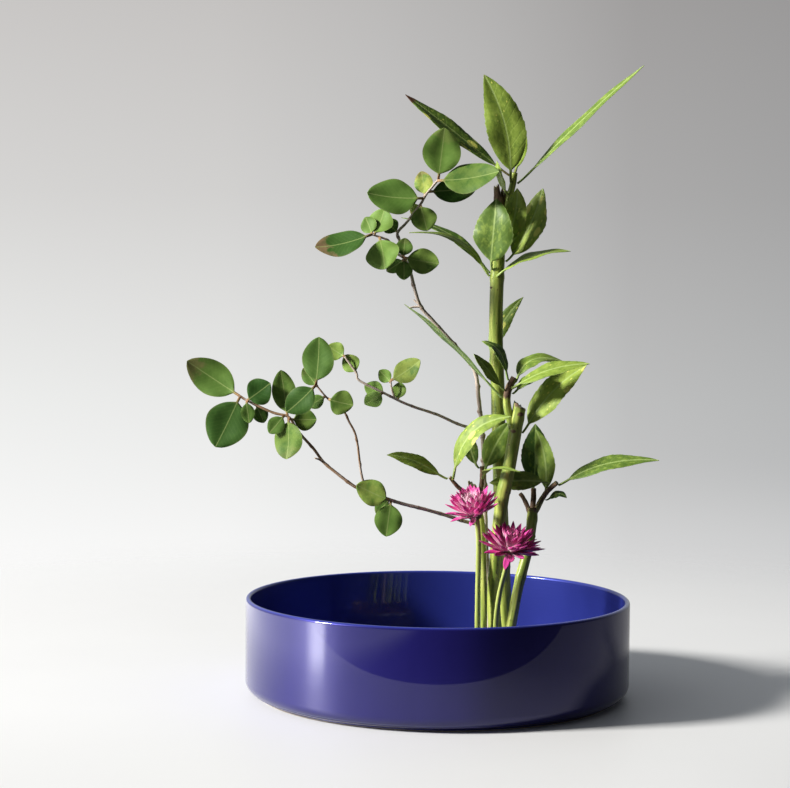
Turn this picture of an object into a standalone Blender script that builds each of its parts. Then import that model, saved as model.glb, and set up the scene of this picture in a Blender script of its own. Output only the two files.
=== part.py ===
"""Flower arrangement in a low round bowl.

A glazed bowl with a straight wall stands on its foot ring. A needle holder
stands right of the middle of its floor: a heavy round weight in a rubber ring,
with brass needles. Four cut branches of spotted laurel, one branching twig and
two chrysanthemums are pushed down over the needles and lift straight off them.

Units are metres, +Z is up, the front of the arrangement faces -Y, and the
origin is the middle of the bowl on the surface that it stands on.
"""
import math

import bmesh
import bpy
from mathutils import Matrix, Vector

MM = 0.001

# Room between pieces that touch on the real arrangement
GAP = 0.3 * MM

# Bowl
BOWL_RADIUS = 130 * MM
BOWL_HEIGHT = 65 * MM
WALL = 3.6 * MM
FLOOR = 4.5 * MM
HEEL_RADIUS = 8 * MM
FLOOR_FILLET = 6 * MM
FOOT_INSET = 8.5 * MM
FOOT_WIDTH = 5.5 * MM
FOOT_HEIGHT = 2.5 * MM
FOOT_ROUNDING = 0.6 * MM
BOWL_SIDES = 72

# Needle holder, placed on the floor of the bowl
HOLDER_X = 47 * MM
HOLDER_Y = 7 * MM
WEIGHT_RADIUS = 30 * MM
WEIGHT_HEIGHT = 7 * MM
WEIGHT_CHAMFER = 0.8 * MM
RUBBER_WALL = 1.8 * MM
RUBBER_HEIGHT = 6 * MM
RUBBER_SOLE = 1 * MM
RUBBER_LIP = 5 * MM
NEEDLE_BED = 1.2 * MM
NEEDLE_BED_INSET = 0.8 * MM
NEEDLE_PITCH = 4.4 * MM
NEEDLE_WIDTH = 1.2 * MM
NEEDLE_HEIGHT = 11 * MM
NEEDLE_POINT = 2.5 * MM
NEEDLE_EDGE = 1.2 * MM
NEEDLE_FIT = 0.2 * MM
HOLDER_SIDES = 36

# How far a cut stem stands above the bed of needles
STEM_SEAT = 3.5 * MM

# Height of the tall branch above its foot. The other stems are cut in proportion to it, and
# the leaves and side shoots of a stem grow with it
TALL_BRANCH_HEIGHT = 325 * MM
TWIG_HEIGHT = 327 / 325 * TALL_BRANCH_HEIGHT
SECOND_BRANCH_HEIGHT = 178 / 325 * TALL_BRANCH_HEIGHT
RIGHT_BRANCH_HEIGHT = 105 / 325 * TALL_BRANCH_HEIGHT
LEFT_BRANCH_HEIGHT = 124 / 325 * TALL_BRANCH_HEIGHT
FLOWER_1_HEIGHT = 97 / 325 * TALL_BRANCH_HEIGHT
FLOWER_2_HEIGHT = 73 / 325 * TALL_BRANCH_HEIGHT

# Radii of the stems at the foot and at the top
TALL_STEM_RADII = (4.9 * MM, 4.6 * MM)
SECOND_STEM_RADII = (4.5 * MM, 4.4 * MM)
RIGHT_STEM_RADII = (3.5 * MM, 3.4 * MM)
LEFT_STEM_RADII = (1.9 * MM, 2.8 * MM)
TWIG_RADII = (1.7 * MM, 0.8 * MM)
FLOWER_STEM_RADII = (1.75 * MM, 1.7 * MM)

# Leaves
LAUREL_THICKNESS = 0.8 * MM
LAUREL_ROWS = 6
TWIG_LEAF_ROWS = 4
TWIG_LEAF_THICKNESS = 0.8 * MM
PETIOLE_WIDTH = 1.8 * MM
PETIOLE_SHARE = 0.12
STALK_SPREAD = 2.5 * MM
STALK_TURN = 0.08
LAUREL_TIP = 1.2 * MM
TWIG_LEAF_TIP = 3 * MM
LEAF_FOLD = math.radians(14)

# Flower heads. The heart has three steps, the widest below, and each carries a ring of petals
PETAL_THICKNESS = 0.5 * MM
PETAL_ROOM = 0.4 * MM
HEAD_SIDES = 12
HEAD_NECK = 3 * MM
CUP_RADIUS = 5.2 * MM
CUP_HEIGHT = 4 * MM
CUP_EDGE = 0.5 * MM
HEART_HEIGHT = 12 * MM
HEART_DOME = 0.3 * MM
HEART_STEPS = ((4.4 * MM, 6.3 * MM), (3.1 * MM, 8.5 * MM), (1.8 * MM, 10.7 * MM))
FLOWER_1_PETALS = (15.5 * MM, 14.5 * MM, 12 * MM)
FLOWER_2_PETALS = (18 * MM, 15.5 * MM, 12.5 * MM)

# Heights of the bowl and the holder that the rest stands on
FLOOR_TOP = FOOT_HEIGHT + FLOOR
RUBBER_BOTTOM = GAP
WEIGHT_BOTTOM = RUBBER_BOTTOM + RUBBER_SOLE + GAP
BED_BOTTOM = WEIGHT_BOTTOM + WEIGHT_HEIGHT + GAP
BED_TOP = BED_BOTTOM + NEEDLE_BED
STEM_FOOT = BED_TOP + STEM_SEAT

# Directions that leaves face
FRONT = (0, -1, 0.15)
SKY = (-0.1, -0.2, 1)


def clear_scene():
    """Remove what a new scene holds."""
    for item in list(bpy.data.objects):
        bpy.data.objects.remove(item)


def collection(name):
    """Return a collection with this name, made when it is first asked for."""
    found = bpy.data.collections.get(name)
    if found is None:
        found = bpy.data.collections.new(name)
        bpy.context.scene.collection.children.link(found)
    return found


def material(name, colour, roughness, metallic=0.0):
    """Make one Principled material."""
    made = bpy.data.materials.new(name)
    made.use_nodes = True
    shader = made.node_tree.nodes["Principled BSDF"]
    shader.inputs["Base Color"].default_value = (*colour, 1)
    shader.inputs["Roughness"].default_value = roughness
    shader.inputs["Metallic"].default_value = metallic
    made.diffuse_color = (*colour, 1)
    return made


def glaze():
    return material("cobalt_glaze", (0.012, 0.016, 0.32), 0.08)


def lead():
    return material("lead_alloy", (0.36, 0.37, 0.38), 0.45, 1.0)


def needle_brass():
    return material("needle_brass", (0.78, 0.58, 0.24), 0.3, 1.0)


def rubber():
    return material("black_rubber", (0.03, 0.03, 0.03), 0.8)


def bark(name):
    return material(name, (0.33, 0.24, 0.14), 0.7)


def green_stem(name):
    return material(name, (0.25, 0.42, 0.06), 0.45)


def laurel_green(name):
    return material(name, (0.13, 0.3, 0.03), 0.35)


def petal_magenta(name):
    return material(name, (0.5, 0.02, 0.25), 0.5)


def flower_green(name):
    return material(name, (0.3, 0.4, 0.12), 0.5)


class Route:
    """The centre line of a stem, from its foot up, with a radius that tapers.

    The points are drawn in steps of a grid, and its step sets how big the branch is.
    """

    def __init__(self, points, radii, step):
        self.points = [Vector(point) * step for point in points]
        self.foot_radius, self.top_radius = radii
        self.step = step

    def radius(self, index):
        """Radius at a point, counted along the route."""
        share = index / (len(self.points) - 1)
        return self.foot_radius + (self.top_radius - self.foot_radius) * share

    def at_index(self, index):
        """Point and radius at a place counted in points, such as 3.5."""
        low = min(int(index), len(self.points) - 2)
        place = self.points[low].lerp(self.points[low + 1], index - low)
        return place, self.radius(index)

    def at_height(self, height):
        """Point and radius where the rising route reaches a height."""
        for low in range(len(self.points) - 1):
            here = self.points[low].z
            there = self.points[low + 1].z
            if height <= there or low == len(self.points) - 2:
                return self.at_index(low + (height - here) / (there - here))
        return self.at_index(0)

    def seat(self, height, side):
        """Point just off the skin at a height, on the side given in degrees, and the way out."""
        place, radius = self.at_height(height * self.step)
        angle = math.radians(side)
        out = Vector((math.cos(angle), math.sin(angle), 0))
        along = self.direction(place)
        out = (out - along * out.dot(along)).normalized()
        return place + out * (radius + GAP + LAUREL_THICKNESS / 2), out

    def fork(self, height, toward, radius):
        """Point where a side twig of some radius stands just off the skin, on its way out."""
        place, own = self.at_height(height * self.step)
        out = (Vector(toward) * self.step - place).normalized()
        level = math.hypot(out.x, out.y)
        return place + out * ((own + GAP) / level + radius * abs(out.z))

    def direction(self, place):
        """Direction of the stretch that passes through a place."""
        for first, second in zip(self.points, self.points[1:]):
            if place.z <= second.z:
                return (second - first).normalized()
        return (self.points[-1] - self.points[-2]).normalized()


def add_object(name, mesh_data, parent, look=None, group="arrangement"):
    """Put mesh or curve data in the scene under an empty."""
    item = bpy.data.objects.new(name, mesh_data)
    collection(group).objects.link(item)
    item.parent = parent
    if look is not None:
        mesh_data.materials.append(look)
    return item


def mesh_from(bm, name):
    """Turn a bmesh into mesh data."""
    data = bpy.data.meshes.new(name)
    bm.to_mesh(data)
    bm.free()
    return data


def axis_empty(name, place, parent=None):
    """Add the empty that carries a group of pieces and marks its joint axis."""
    empty = bpy.data.objects.new(name, None)
    empty.empty_display_size = 0.01
    collection("arrangement").objects.link(empty)
    empty.location = place
    empty.parent = parent
    return empty


def hide_cutter(item):
    """Mark an object as one that only shapes others."""
    item.hide_render = True
    item.display_type = "WIRE"


def boolean(target, operand, operation):
    """Cut or join a target with another object."""
    modifier = target.modifiers.new(operation.lower(), "BOOLEAN")
    modifier.operation = operation
    modifier.object = operand
    modifier.solver = "EXACT"


def smooth(item, angle=40):
    """Shade a round piece smooth and keep its sharp edges."""
    item.data.shade_smooth()
    item.data.set_sharp_from_angle(angle=math.radians(angle))


def arc(centre, radius, start, end, steps):
    """Points of an arc in the X-Z plane, from one angle to another in degrees."""
    points = []
    for step in range(steps + 1):
        angle = math.radians(start + (end - start) * step / steps)
        points.append((centre[0] + radius * math.cos(angle), centre[1] + radius * math.sin(angle)))
    return points


def turned(name, profile, sides, parent, look, closed=False):
    """Turn a profile of (radius, height) points about the Z axis."""
    bm = bmesh.new()
    verts = [bm.verts.new((radius, 0, height)) for radius, height in profile]
    for first, second in zip(verts, verts[1:]):
        bm.edges.new((first, second))
    if closed:
        bm.edges.new((verts[-1], verts[0]))
    item = add_object(name, mesh_from(bm, name), parent, look)
    screw = item.modifiers.new("turn", "SCREW")
    screw.steps = sides
    screw.render_steps = sides
    screw.use_merge_vertices = True
    screw.merge_threshold = 0.00001
    return item


def bowl(parent):
    """Straight-walled bowl: rounded lip, rounded heel and a narrower foot ring."""
    inner = BOWL_RADIUS - WALL
    lip = WALL / 2
    foot = BOWL_RADIUS - FOOT_INSET
    heel_bottom = FOOT_HEIGHT - FOOT_ROUNDING
    profile = [(0, FLOOR_TOP)]
    profile += arc((inner - FLOOR_FILLET, FLOOR_TOP + FLOOR_FILLET), FLOOR_FILLET, -90, 0, 3)
    profile += arc((inner + lip, BOWL_HEIGHT - lip), lip, 180, 0, 4)
    profile += arc((BOWL_RADIUS - HEEL_RADIUS, heel_bottom + HEEL_RADIUS), HEEL_RADIUS, 0, -90, 3)
    profile += [(foot, heel_bottom)]
    profile += arc((foot - FOOT_ROUNDING, FOOT_ROUNDING), FOOT_ROUNDING, 0, -90, 1)
    profile += [(foot - FOOT_WIDTH, 0), (foot - FOOT_WIDTH, FOOT_HEIGHT), (0, FOOT_HEIGHT)]
    return turned("bowl", profile, BOWL_SIDES, parent, glaze())


def rubber_ring(parent):
    """Rubber ring that grips the weight and keeps it off the glaze."""
    inner = WEIGHT_RADIUS + GAP
    outer = inner + RUBBER_WALL
    sole_top = RUBBER_BOTTOM + RUBBER_SOLE
    profile = [
        (outer, RUBBER_BOTTOM + RUBBER_HEIGHT),
        (outer, RUBBER_BOTTOM),
        (WEIGHT_RADIUS - RUBBER_LIP, RUBBER_BOTTOM),
        (WEIGHT_RADIUS - RUBBER_LIP, sole_top),
        (inner, sole_top),
        (inner, RUBBER_BOTTOM + RUBBER_HEIGHT),
    ]
    return turned("holder_rubber_ring", profile, HOLDER_SIDES, parent, rubber(), closed=True)


def weight(parent):
    """Cast weight of the needle holder."""
    top = WEIGHT_BOTTOM + WEIGHT_HEIGHT
    profile = [
        (0, top),
        (WEIGHT_RADIUS - WEIGHT_CHAMFER, top),
        (WEIGHT_RADIUS, top - WEIGHT_CHAMFER),
        (WEIGHT_RADIUS, WEIGHT_BOTTOM),
        (0, WEIGHT_BOTTOM),
    ]
    return turned("holder_weight", profile, HOLDER_SIDES, parent, lead())


def needle_places():
    """Middles of the needles: a square grid inside the rim of the bed."""
    limit = WEIGHT_RADIUS - NEEDLE_BED_INSET - NEEDLE_EDGE
    reach = int(limit / NEEDLE_PITCH) + 1
    places = []
    for column in range(-reach, reach + 1):
        for row in range(-reach, reach + 1):
            place = Vector((column * NEEDLE_PITCH, row * NEEDLE_PITCH, 0))
            if place.length + NEEDLE_WIDTH <= limit:
                places.append(place)
    return places


def needle_shape(bm, place, bottom, width, height):
    """Add one square needle with a point."""
    shaft = height - NEEDLE_POINT
    made = bmesh.ops.create_cone(
        bm, segments=4, cap_ends=True, radius1=width / math.sqrt(2), radius2=width / math.sqrt(2), depth=shaft
    )
    verts = made["verts"]
    bmesh.ops.rotate(bm, verts=verts, cent=(0, 0, 0), matrix=Matrix.Rotation(math.radians(45), 3, "Z"))
    bmesh.ops.translate(bm, verts=verts, vec=(place.x, place.y, bottom + shaft / 2))
    faces = {face for vert in verts for face in vert.link_faces}
    top = max(faces, key=lambda face: face.calc_center_median().z)
    bmesh.ops.poke(bm, faces=[top], offset=NEEDLE_POINT)


def needles(parent):
    """Brass needles, fused to the slice of the weight that they are cast into."""
    bed_radius = WEIGHT_RADIUS - NEEDLE_BED_INSET
    profile = [(0, BED_TOP), (bed_radius, BED_TOP), (bed_radius, BED_BOTTOM), (0, BED_BOTTOM)]
    bed = turned("holder_needles", profile, HOLDER_SIDES, parent, needle_brass())
    bm = bmesh.new()
    root = NEEDLE_BED / 2
    for place in needle_places():
        needle_shape(bm, place, BED_TOP - root, NEEDLE_WIDTH, NEEDLE_HEIGHT + root)
    pins = add_object("needle_shafts", mesh_from(bm, "needle_shafts"), parent, group="cutters")
    hide_cutter(pins)
    boolean(bed, pins, "UNION")
    return bed


def tube(name, route, sides_level, parent, look=None, group="arrangement"):
    """Round tube along a route, as a mesh with closed ends."""
    curve = bpy.data.curves.new(name, "CURVE")
    curve.dimensions = "3D"
    curve.bevel_depth = 1
    curve.bevel_resolution = sides_level
    curve.use_fill_caps = True
    spline = curve.splines.new("POLY")
    spline.points.add(len(route.points) - 1)
    for index, place in enumerate(route.points):
        spline.points[index].co = (*place, 1)
        spline.points[index].radius = route.radius(index)
    guide = bpy.data.objects.new(name + "_guide", curve)
    bpy.context.scene.collection.objects.link(guide)
    depsgraph = bpy.context.evaluated_depsgraph_get()
    data = bpy.data.meshes.new_from_object(guide.evaluated_get(depsgraph))
    bpy.data.objects.remove(guide)
    bm = bmesh.new()
    bm.from_mesh(data)
    bmesh.ops.remove_doubles(bm, verts=bm.verts, dist=0.00001)
    bmesh.ops.recalc_face_normals(bm, faces=bm.faces)
    bm.to_mesh(data)
    bm.free()
    data.name = name
    item = add_object(name, data, parent, look, group)
    smooth(item)
    return item


def slope_top(item, route, lean, rise):
    """Cut the top of a stem on the slant, as shears leave it."""
    top = route.points[-1] - Vector((0, 0, rise * MM))
    bm = bmesh.new()
    bm.from_mesh(item.data)
    everything = bm.verts[:] + bm.edges[:] + bm.faces[:]
    cut = bmesh.ops.bisect_plane(
        bm, geom=everything, plane_co=top, plane_no=Vector(lean).normalized(), clear_outer=True
    )
    edges = [part for part in cut["geom_cut"] if isinstance(part, bmesh.types.BMEdge)]
    bmesh.ops.contextual_create(bm, geom=edges)
    bm.to_mesh(item.data)
    bm.free()


def pierce(stem, foot, radius):
    """Cut the holes that the needles make in the foot of a thick stem."""
    bm = bmesh.new()
    count = 0
    for place in needle_places():
        away = place - foot
        if away.length + NEEDLE_WIDTH / math.sqrt(2) + NEEDLE_FIT < radius:
            needle_shape(bm, away, -STEM_SEAT, NEEDLE_WIDTH + 2 * NEEDLE_FIT, NEEDLE_HEIGHT + 2 * NEEDLE_FIT)
            count += 1
    if count == 0:
        bm.free()
        return
    name = stem.name + "_needle_holes"
    cutter = add_object(name, mesh_from(bm, name), stem.parent, group="cutters")
    hide_cutter(cutter)
    boolean(stem, cutter, "DIFFERENCE")


def add_shoots(stem, shoots, sides_level):
    """Join side shoots to the stem that they grow from."""
    for number, shoot in enumerate(shoots, 1):
        name = f"{stem.name}_shoot_{number}"
        item = tube(name, shoot, sides_level, stem.parent, group="cutters")
        hide_cutter(item)
        boolean(stem, item, "UNION")


def leaf_half_width(share, width, tip_width):
    """Half the width of a leaf at a share of its length: stalk, blade and blunt tip."""
    if share > 0.99:
        return tip_width / 2
    if share <= PETIOLE_SHARE:
        return PETIOLE_WIDTH / 2
    place = (share - PETIOLE_SHARE) / (1 - PETIOLE_SHARE)
    blade = math.sin(math.pi * place ** 0.75) ** 0.8
    return max(width * blade, PETIOLE_WIDTH) / 2


def leaf_mesh(name, base, out, reach, bend, width, face, columns, rows, tip_width):
    """Leaf blade on its short stalk: a folded grid laid along a bowed midrib."""
    bm = bmesh.new()
    bmesh.ops.create_grid(bm, x_segments=columns, y_segments=rows, size=1)
    upper = Vector(face).normalized()
    clasp = out if out.dot(upper) >= 0 else -out
    for vert in bm.verts:
        side = round(vert.co.x)
        share = (vert.co.y + 1) / 2
        opened = min(share / PETIOLE_SHARE, 1)
        middle = base + reach * share + bend * (4 * share * (1 - share)) + out * stalk_out(share)
        along = (reach + bend * (4 - 8 * share)).normalized()
        facing = clasp.lerp(upper, opened)
        normal = (facing - along * facing.dot(along)).normalized()
        across = along.cross(normal)
        half = leaf_half_width(share, width, tip_width)
        fold = LEAF_FOLD * opened
        vert.co = middle + (across * math.cos(fold) * side + normal * math.sin(fold) * abs(side)) * half
    return mesh_from(bm, name)


def stalk_out(share):
    """How far the stalk stands off the stem that it leaves, along the leaf."""
    return STALK_SPREAD * (1 - share) * share / (share + STALK_TURN)


def solid_sheet(item, thickness):
    """Give an open surface its thickness."""
    modifier = item.modifiers.new("thickness", "SOLIDIFY")
    modifier.thickness = thickness
    modifier.offset = 0


# Laurel leaves: name, height on the stem and side in degrees, then the reach of the
# leaf from its base, how far its middle bows out, its width and the way it faces
def laurel_leaf(parent, route, name, height, side, reach, bend, width, face):
    """One laurel leaf, seated on the skin of its stem."""
    base, out = route.seat(height, side)
    data = leaf_mesh(
        name, base, out, Vector(reach) * route.step, Vector(bend) * route.step, width * route.step, face, 2,
        LAUREL_ROWS, LAUREL_TIP
    )
    item = add_object(name, data, parent, laurel_green(name + "_green"))
    solid_sheet(item, LAUREL_THICKNESS)
    smooth(item)
    return item


def holder_seat(column, row):
    """Foot of a stem on the needle grid, in steps of the pitch."""
    return Vector((column * NEEDLE_PITCH, row * NEEDLE_PITCH, 0))


def stem_empty(name, seat, holder):
    """Empty at the foot of a stem, on the line along which it lifts."""
    return axis_empty(name, seat + Vector((0, 0, STEM_FOOT)), holder)


def tall_branch(holder):
    """Tallest laurel branch, with a whorl of leaves at the top of its side shoot."""
    seat = holder_seat(0.5, 1.5)
    empty = stem_empty("tall_branch_axis", seat, holder)
    step = TALL_BRANCH_HEIGHT / 325
    route = Route(
        [(0, 0, 0), (0, 0, 13), (-3, 0, 40), (-5, 0, 82), (-7, -1, 123), (-9, -2, 178),
         (-11, -4, 233), (-10, -6, 280), (-9, -6, 312), (-9, -6, 325)],
        TALL_STEM_RADII, step,
    )
    shoot = Route(
        [(-9, -6, 292), (-5, -8, 306), (-3, -11, 316), (-1, -13, 324), (0, -14, 332)],
        (2.6 * MM, 2.2 * MM), step,
    )
    stem = tube("tall_stem", route, 3, empty, green_stem("tall_stem_green"))
    slope_top(stem, route, (0.7, 0.1, 1), 4)
    add_shoots(stem, [shoot], 2)
    pierce(stem, seat, route.foot_radius)
    crown = [
        ("tall_leaf_crown_left", 329, 185, (-71, 8, 55), (0, 0, 1), 15, (0.3, -0.7, 0.6)),
        ("tall_leaf_crown_upright", 325, 240, (-19, -2, 72), (6, -3, 0), 27, FRONT),
        ("tall_leaf_crown_back", 331, 80, (7, 9, 30), (0, 1, 0), 9, (-0.3, -1, 0)),
        ("tall_leaf_crown_right", 325, 345, (83, -10, 78), (-2, 0, 1), 15, (-0.65, -0.3, 0.7)),
        ("tall_leaf_shoot_left", 317, 245, (-8, -9, 22), (-1, -1, 0), 9, (-0.5, -1, 0)),
    ]
    lower = [
        ("tall_leaf_front", 266, 225, (2, -10, 47), (0, -7, 0), 26, FRONT),
        ("tall_leaf_sheath", 280, 290, (10, -5, 40), (3, -1, 0), 11, (0.2, -1, 0)),
        ("tall_leaf_right", 272, 350, (25, 4, 50), (2, 0, -2), 15, (-0.6, -0.6, 0.5)),
        ("tall_leaf_right_level", 262, 265, (49, -10, 17), (-2, 0, 5), 15, SKY),
        ("tall_leaf_left_dark", 264, 160, (-61, 14, 38), (6, 2, 6), 12, (-0.4, -0.3, 0.85)),
        ("tall_leaf_left_light", 262, 190, (-55, -2, 29), (7, 0, 9), 12, (-0.4, -0.3, 0.85)),
        ("tall_leaf_behind", 204, 120, (21, 10, 44), (-5, 3, 0), 12, (-0.5, -1, 0)),
    ]
    for row in crown:
        laurel_leaf(empty, shoot, *row)
    for row in lower:
        laurel_leaf(empty, route, *row)


def second_branch(holder):
    """Second laurel branch, cut short above a side shoot."""
    seat = holder_seat(-1.5, -1.5)
    empty = stem_empty("second_branch_axis", seat, holder)
    step = SECOND_BRANCH_HEIGHT / 178
    route = Route(
        [(0, 0, 0), (0, 0, 13), (-2, 1, 42), (0, -4, 84), (3, -8, 113), (7, -10, 133),
         (10, -11, 152), (12, -12, 166), (14, -13, 178)],
        SECOND_STEM_RADII, step,
    )
    shoot = Route([(9, -12, 160), (5, -13, 176), (6, -13, 186), (10, -13, 194)], (2.8 * MM, 2.4 * MM), step)
    stem = tube("second_stem", route, 3, empty, green_stem("second_stem_green"))
    slope_top(stem, route, (0.8, -0.1, 1), 3)
    add_shoots(stem, [shoot], 2)
    pierce(stem, seat, route.foot_radius)
    upper = [
        ("second_leaf_long_left", 179, 180, (-66, 6, 62), (1, 0, 4), 14, (0.65, 0.25, 0.7)),
        ("second_leaf_striped", 184, 215, (-21, -8, 24), (0, 0, 1), 10, (0.3, -0.7, 0.6)),
        ("second_leaf_ribbed", 190, 150, (-18, 6, 26), (4, 0, 5), 12, (0.7, -0.5, 0.4)),
        ("second_leaf_upper_dark", 191, 45, (33, 12, 14), (-6, 0, 8), 15, (-0.3, -0.5, 0.8)),
        ("second_leaf_upper_light", 187, 300, (51, -10, 17), (-2, 0, 4), 14, (-0.2, -0.6, 0.75)),
        ("second_leaf_small_right", 183, 350, (24, 4, 12), (-2, 0, 4), 10, (-0.2, -0.5, 0.8)),
    ]
    for row in upper:
        laurel_leaf(empty, shoot, *row)
    laurel_leaf(
        empty, route, "second_leaf_broad", 157, 20, (43, 4, 46), (-4, 0, 3), 19, (-0.45, -0.85, 0.3)
    )


def right_branch(holder):
    """Short laurel branch on the right, which forks into three shoots."""
    seat = holder_seat(0, -3)
    empty = stem_empty("right_branch_axis", seat, holder)
    step = RIGHT_BRANCH_HEIGHT / 105
    route = Route(
        [(0, 0, 0), (0, 0, 13), (3, 0, 26), (8, 2, 53), (14, 6, 77), (17, 10, 97), (17, 11, 105)],
        RIGHT_STEM_RADII, step,
    )
    left = Route([(16, 11, 100), (12, 15, 110), (9, 17, 114)], (1.6 * MM, 1.3 * MM), step)
    middle = Route([(17, 11, 100), (18, 14, 110), (18, 15, 118)], (2 * MM, 1.7 * MM), step)
    right = Route([(18, 11, 100), (24, 9, 112), (28, 6, 118), (33, 2, 123)], (2 * MM, 1.6 * MM), step)
    stem = tube("right_stem", route, 2, empty, green_stem("right_stem_green"))
    add_shoots(stem, [left, middle, right], 1)
    pierce(stem, seat, route.foot_radius)
    laurel_leaf(empty, right, "right_leaf_long", 122, 0, (67, -8, 18), (-4, 0, 6), 15, (-0.1, -0.55, 0.8))
    laurel_leaf(empty, right, "right_leaf_level", 120, 150, (-41, 1, 0), (0, 0, 1), 13, (0, -1, 0.05))
    laurel_leaf(empty, middle, "right_leaf_broad", 117, 90, (1, 3, 44), (1, 0, 0), 20, (-0.2, -1, 0))
    laurel_leaf(empty, right, "right_leaf_upright", 112, 60, (-6, 6, 46), (3, 0, 2), 14, (-0.5, -1, 0))
    laurel_leaf(empty, right, "right_leaf_curled", 112, 330, (14, -5, 2), (0, 0, 4), 7, (0, -0.6, 0.8))


def left_branch(holder):
    """Thin laurel branch on the left, with two shoots below its cut top."""
    seat = holder_seat(-3.5, -2.5)
    empty = stem_empty("left_branch_axis", seat, holder)
    step = LEFT_BRANCH_HEIGHT / 124
    route = Route(
        [(0, 0, 0), (0, 0, 13), (0, -2, 36), (-1, 0, 70), (-3, 4, 97), (-7, 4, 112), (-9, 4, 124)],
        LEFT_STEM_RADII, step,
    )
    left = Route([(-7, 4, 108), (-11, 3, 114), (-18, 2, 119), (-24, 0, 126)], (1.5 * MM, 1.2 * MM), step)
    middle = Route([(-4, 4, 99), (-3, 8, 113), (-2, 8, 124), (-2, 7, 133)], (1.6 * MM, 1.4 * MM), step)
    stem = tube("left_stem", route, 2, empty, green_stem("left_stem_green"))
    slope_top(stem, route, (0.5, -0.5, 1), 3)
    add_shoots(stem, [left, middle], 1)
    laurel_leaf(empty, left, "left_leaf_low", 126, 180, (-41, -5, 16), (0, 0, 4), 12, (-0.1, -0.7, 0.7))
    laurel_leaf(empty, left, "left_leaf_arching", 124, 290, (38, -18, 44), (-8, 0, 9), 13, (-0.5, -0.6, 0.6))
    laurel_leaf(empty, middle, "left_leaf_dark", 131, 200, (-10, -6, 27), (0, 0, 0), 10, (-0.3, -1, 0))
    laurel_leaf(empty, middle, "left_leaf_large", 128, 60, (18, -3, 35), (-2, 0, 0), 16, (-0.2, -1, 0))
    laurel_leaf(empty, middle, "left_leaf_thin", 125, 280, (24, -32, 3), (-6, -4, 5), 8, (0, -0.1, 1))


def spray(name, route, parent, look, leaves, side_twigs=()):
    """Woody twig with its small round leaves joined on: (twig, place, reach, width, face)."""
    item = tube(name, route, 1, parent, look)
    twigs = [route]
    for number, twig in enumerate(side_twigs, 1):
        twigs.append(twig)
        branch = tube(f"{name}_fork_{number}", twig, 1, parent, group="cutters")
        hide_cutter(branch)
        boolean(item, branch, "UNION")
    leaf_group = f"{name}_leaves"
    for number, (twig, place, reach, width, face) in enumerate(leaves, 1):
        base, _ = twigs[twig].at_index(place)
        reach = Vector(reach) * route.step
        bow = Vector(face).normalized() * (-0.08 * reach.length)
        leaf_name = f"{name}_leaf_{number}"
        data = leaf_mesh(
            leaf_name, base, Vector((0, 0, 0)), reach, bow, width * route.step, face, 1, TWIG_LEAF_ROWS,
            TWIG_LEAF_TIP
        )
        leaf = add_object(leaf_name, data, parent, group=leaf_group)
        solid_sheet(leaf, TWIG_LEAF_THICKNESS)
        hide_cutter(leaf)
    modifier = item.modifiers.new("leaves", "BOOLEAN")
    modifier.operation = "UNION"
    modifier.operand_type = "COLLECTION"
    modifier.collection = collection(leaf_group)
    modifier.solver = "EXACT"
    return item


def main_twig_route():
    """Route of the main twig: up beside the tall branch, out to the left and up again."""
    return Route(
        [(0, 0, 0), (0, 0, 13), (-1, -1, 40), (-3, -2, 82), (-4, -2, 109), (-6, -4, 151), (-9, -5, 178),
         (-12, -6, 198), (-22, -8, 211), (-31, -10, 221), (-41, -12, 232), (-49, -14, 241), (-53, -17, 252),
         (-57, -18, 267), (-61, -19, 274), (-64, -19, 286), (-65, -18, 291), (-59, -16, 298), (-50, -16, 310),
         (-46, -15, 317), (-38, -14, 327)],
        TWIG_RADII, TWIG_HEIGHT / 327,
    )


def tall_twig(parent, route, look):
    """Main twig with the leaves of its upper end."""
    side = Route(
        [(-61, -19, 274), (-67, -20, 278), (-71, -22, 285), (-82, -25, 289)], (0.9 * MM, 0.7 * MM), route.step
    )
    stub = Route([(-49, -14, 241), (-53, -14, 241), (-57, -15, 240)], (0.8 * MM, 0.6 * MM), route.step)
    spur = Route([(-50, -14, 243), (-52, -13, 244), (-54, -13, 246)], (0.7 * MM, 0.5 * MM), route.step)
    leaves = [
        (0, 20, (4, -6, 34), 24, FRONT),
        (0, 19.9, (41, -16, 5), 20, (0.1, -1, 0.5)),
        (0, 19.2, (32, 4, 2), 14, (0, -1, -0.2)),
        (0, 18.8, (-3, 5, 17), 11, (-0.2, -1, 0)),
        (0, 18.6, (-36, -6, 0), 20, (0, -0.8, 0.6)),
        (1, 2.9, (7, 4, 18), 15, FRONT),
        (1, 3, (-5, 6, 12), 9, FRONT),
        (1, 3, (-38, -4, -9), 18, (0, -0.8, 0.6)),
        (1, 2.6, (4, -5, -22), 21, (0, -1, 0.4)),
        (0, 16, (-9, 3, 8), 10, FRONT),
        (0, 18, (5, -4, -18), 15, (0, -1, 0.3)),
        (0, 18, (-6, 3, -7), 8, FRONT),
        (0, 14, (1, -3, 13), 10, FRONT),
        (0, 14, (24, -4, -4), 15, (0, -1, 0.3)),
        (0, 13.9, (0, -4, -14), 10, FRONT),
        (0, 13.9, (-12, 4, -8), 8, FRONT),
    ]
    return spray("tall_twig", route, parent, look, leaves, [side, stub, spur])


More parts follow.
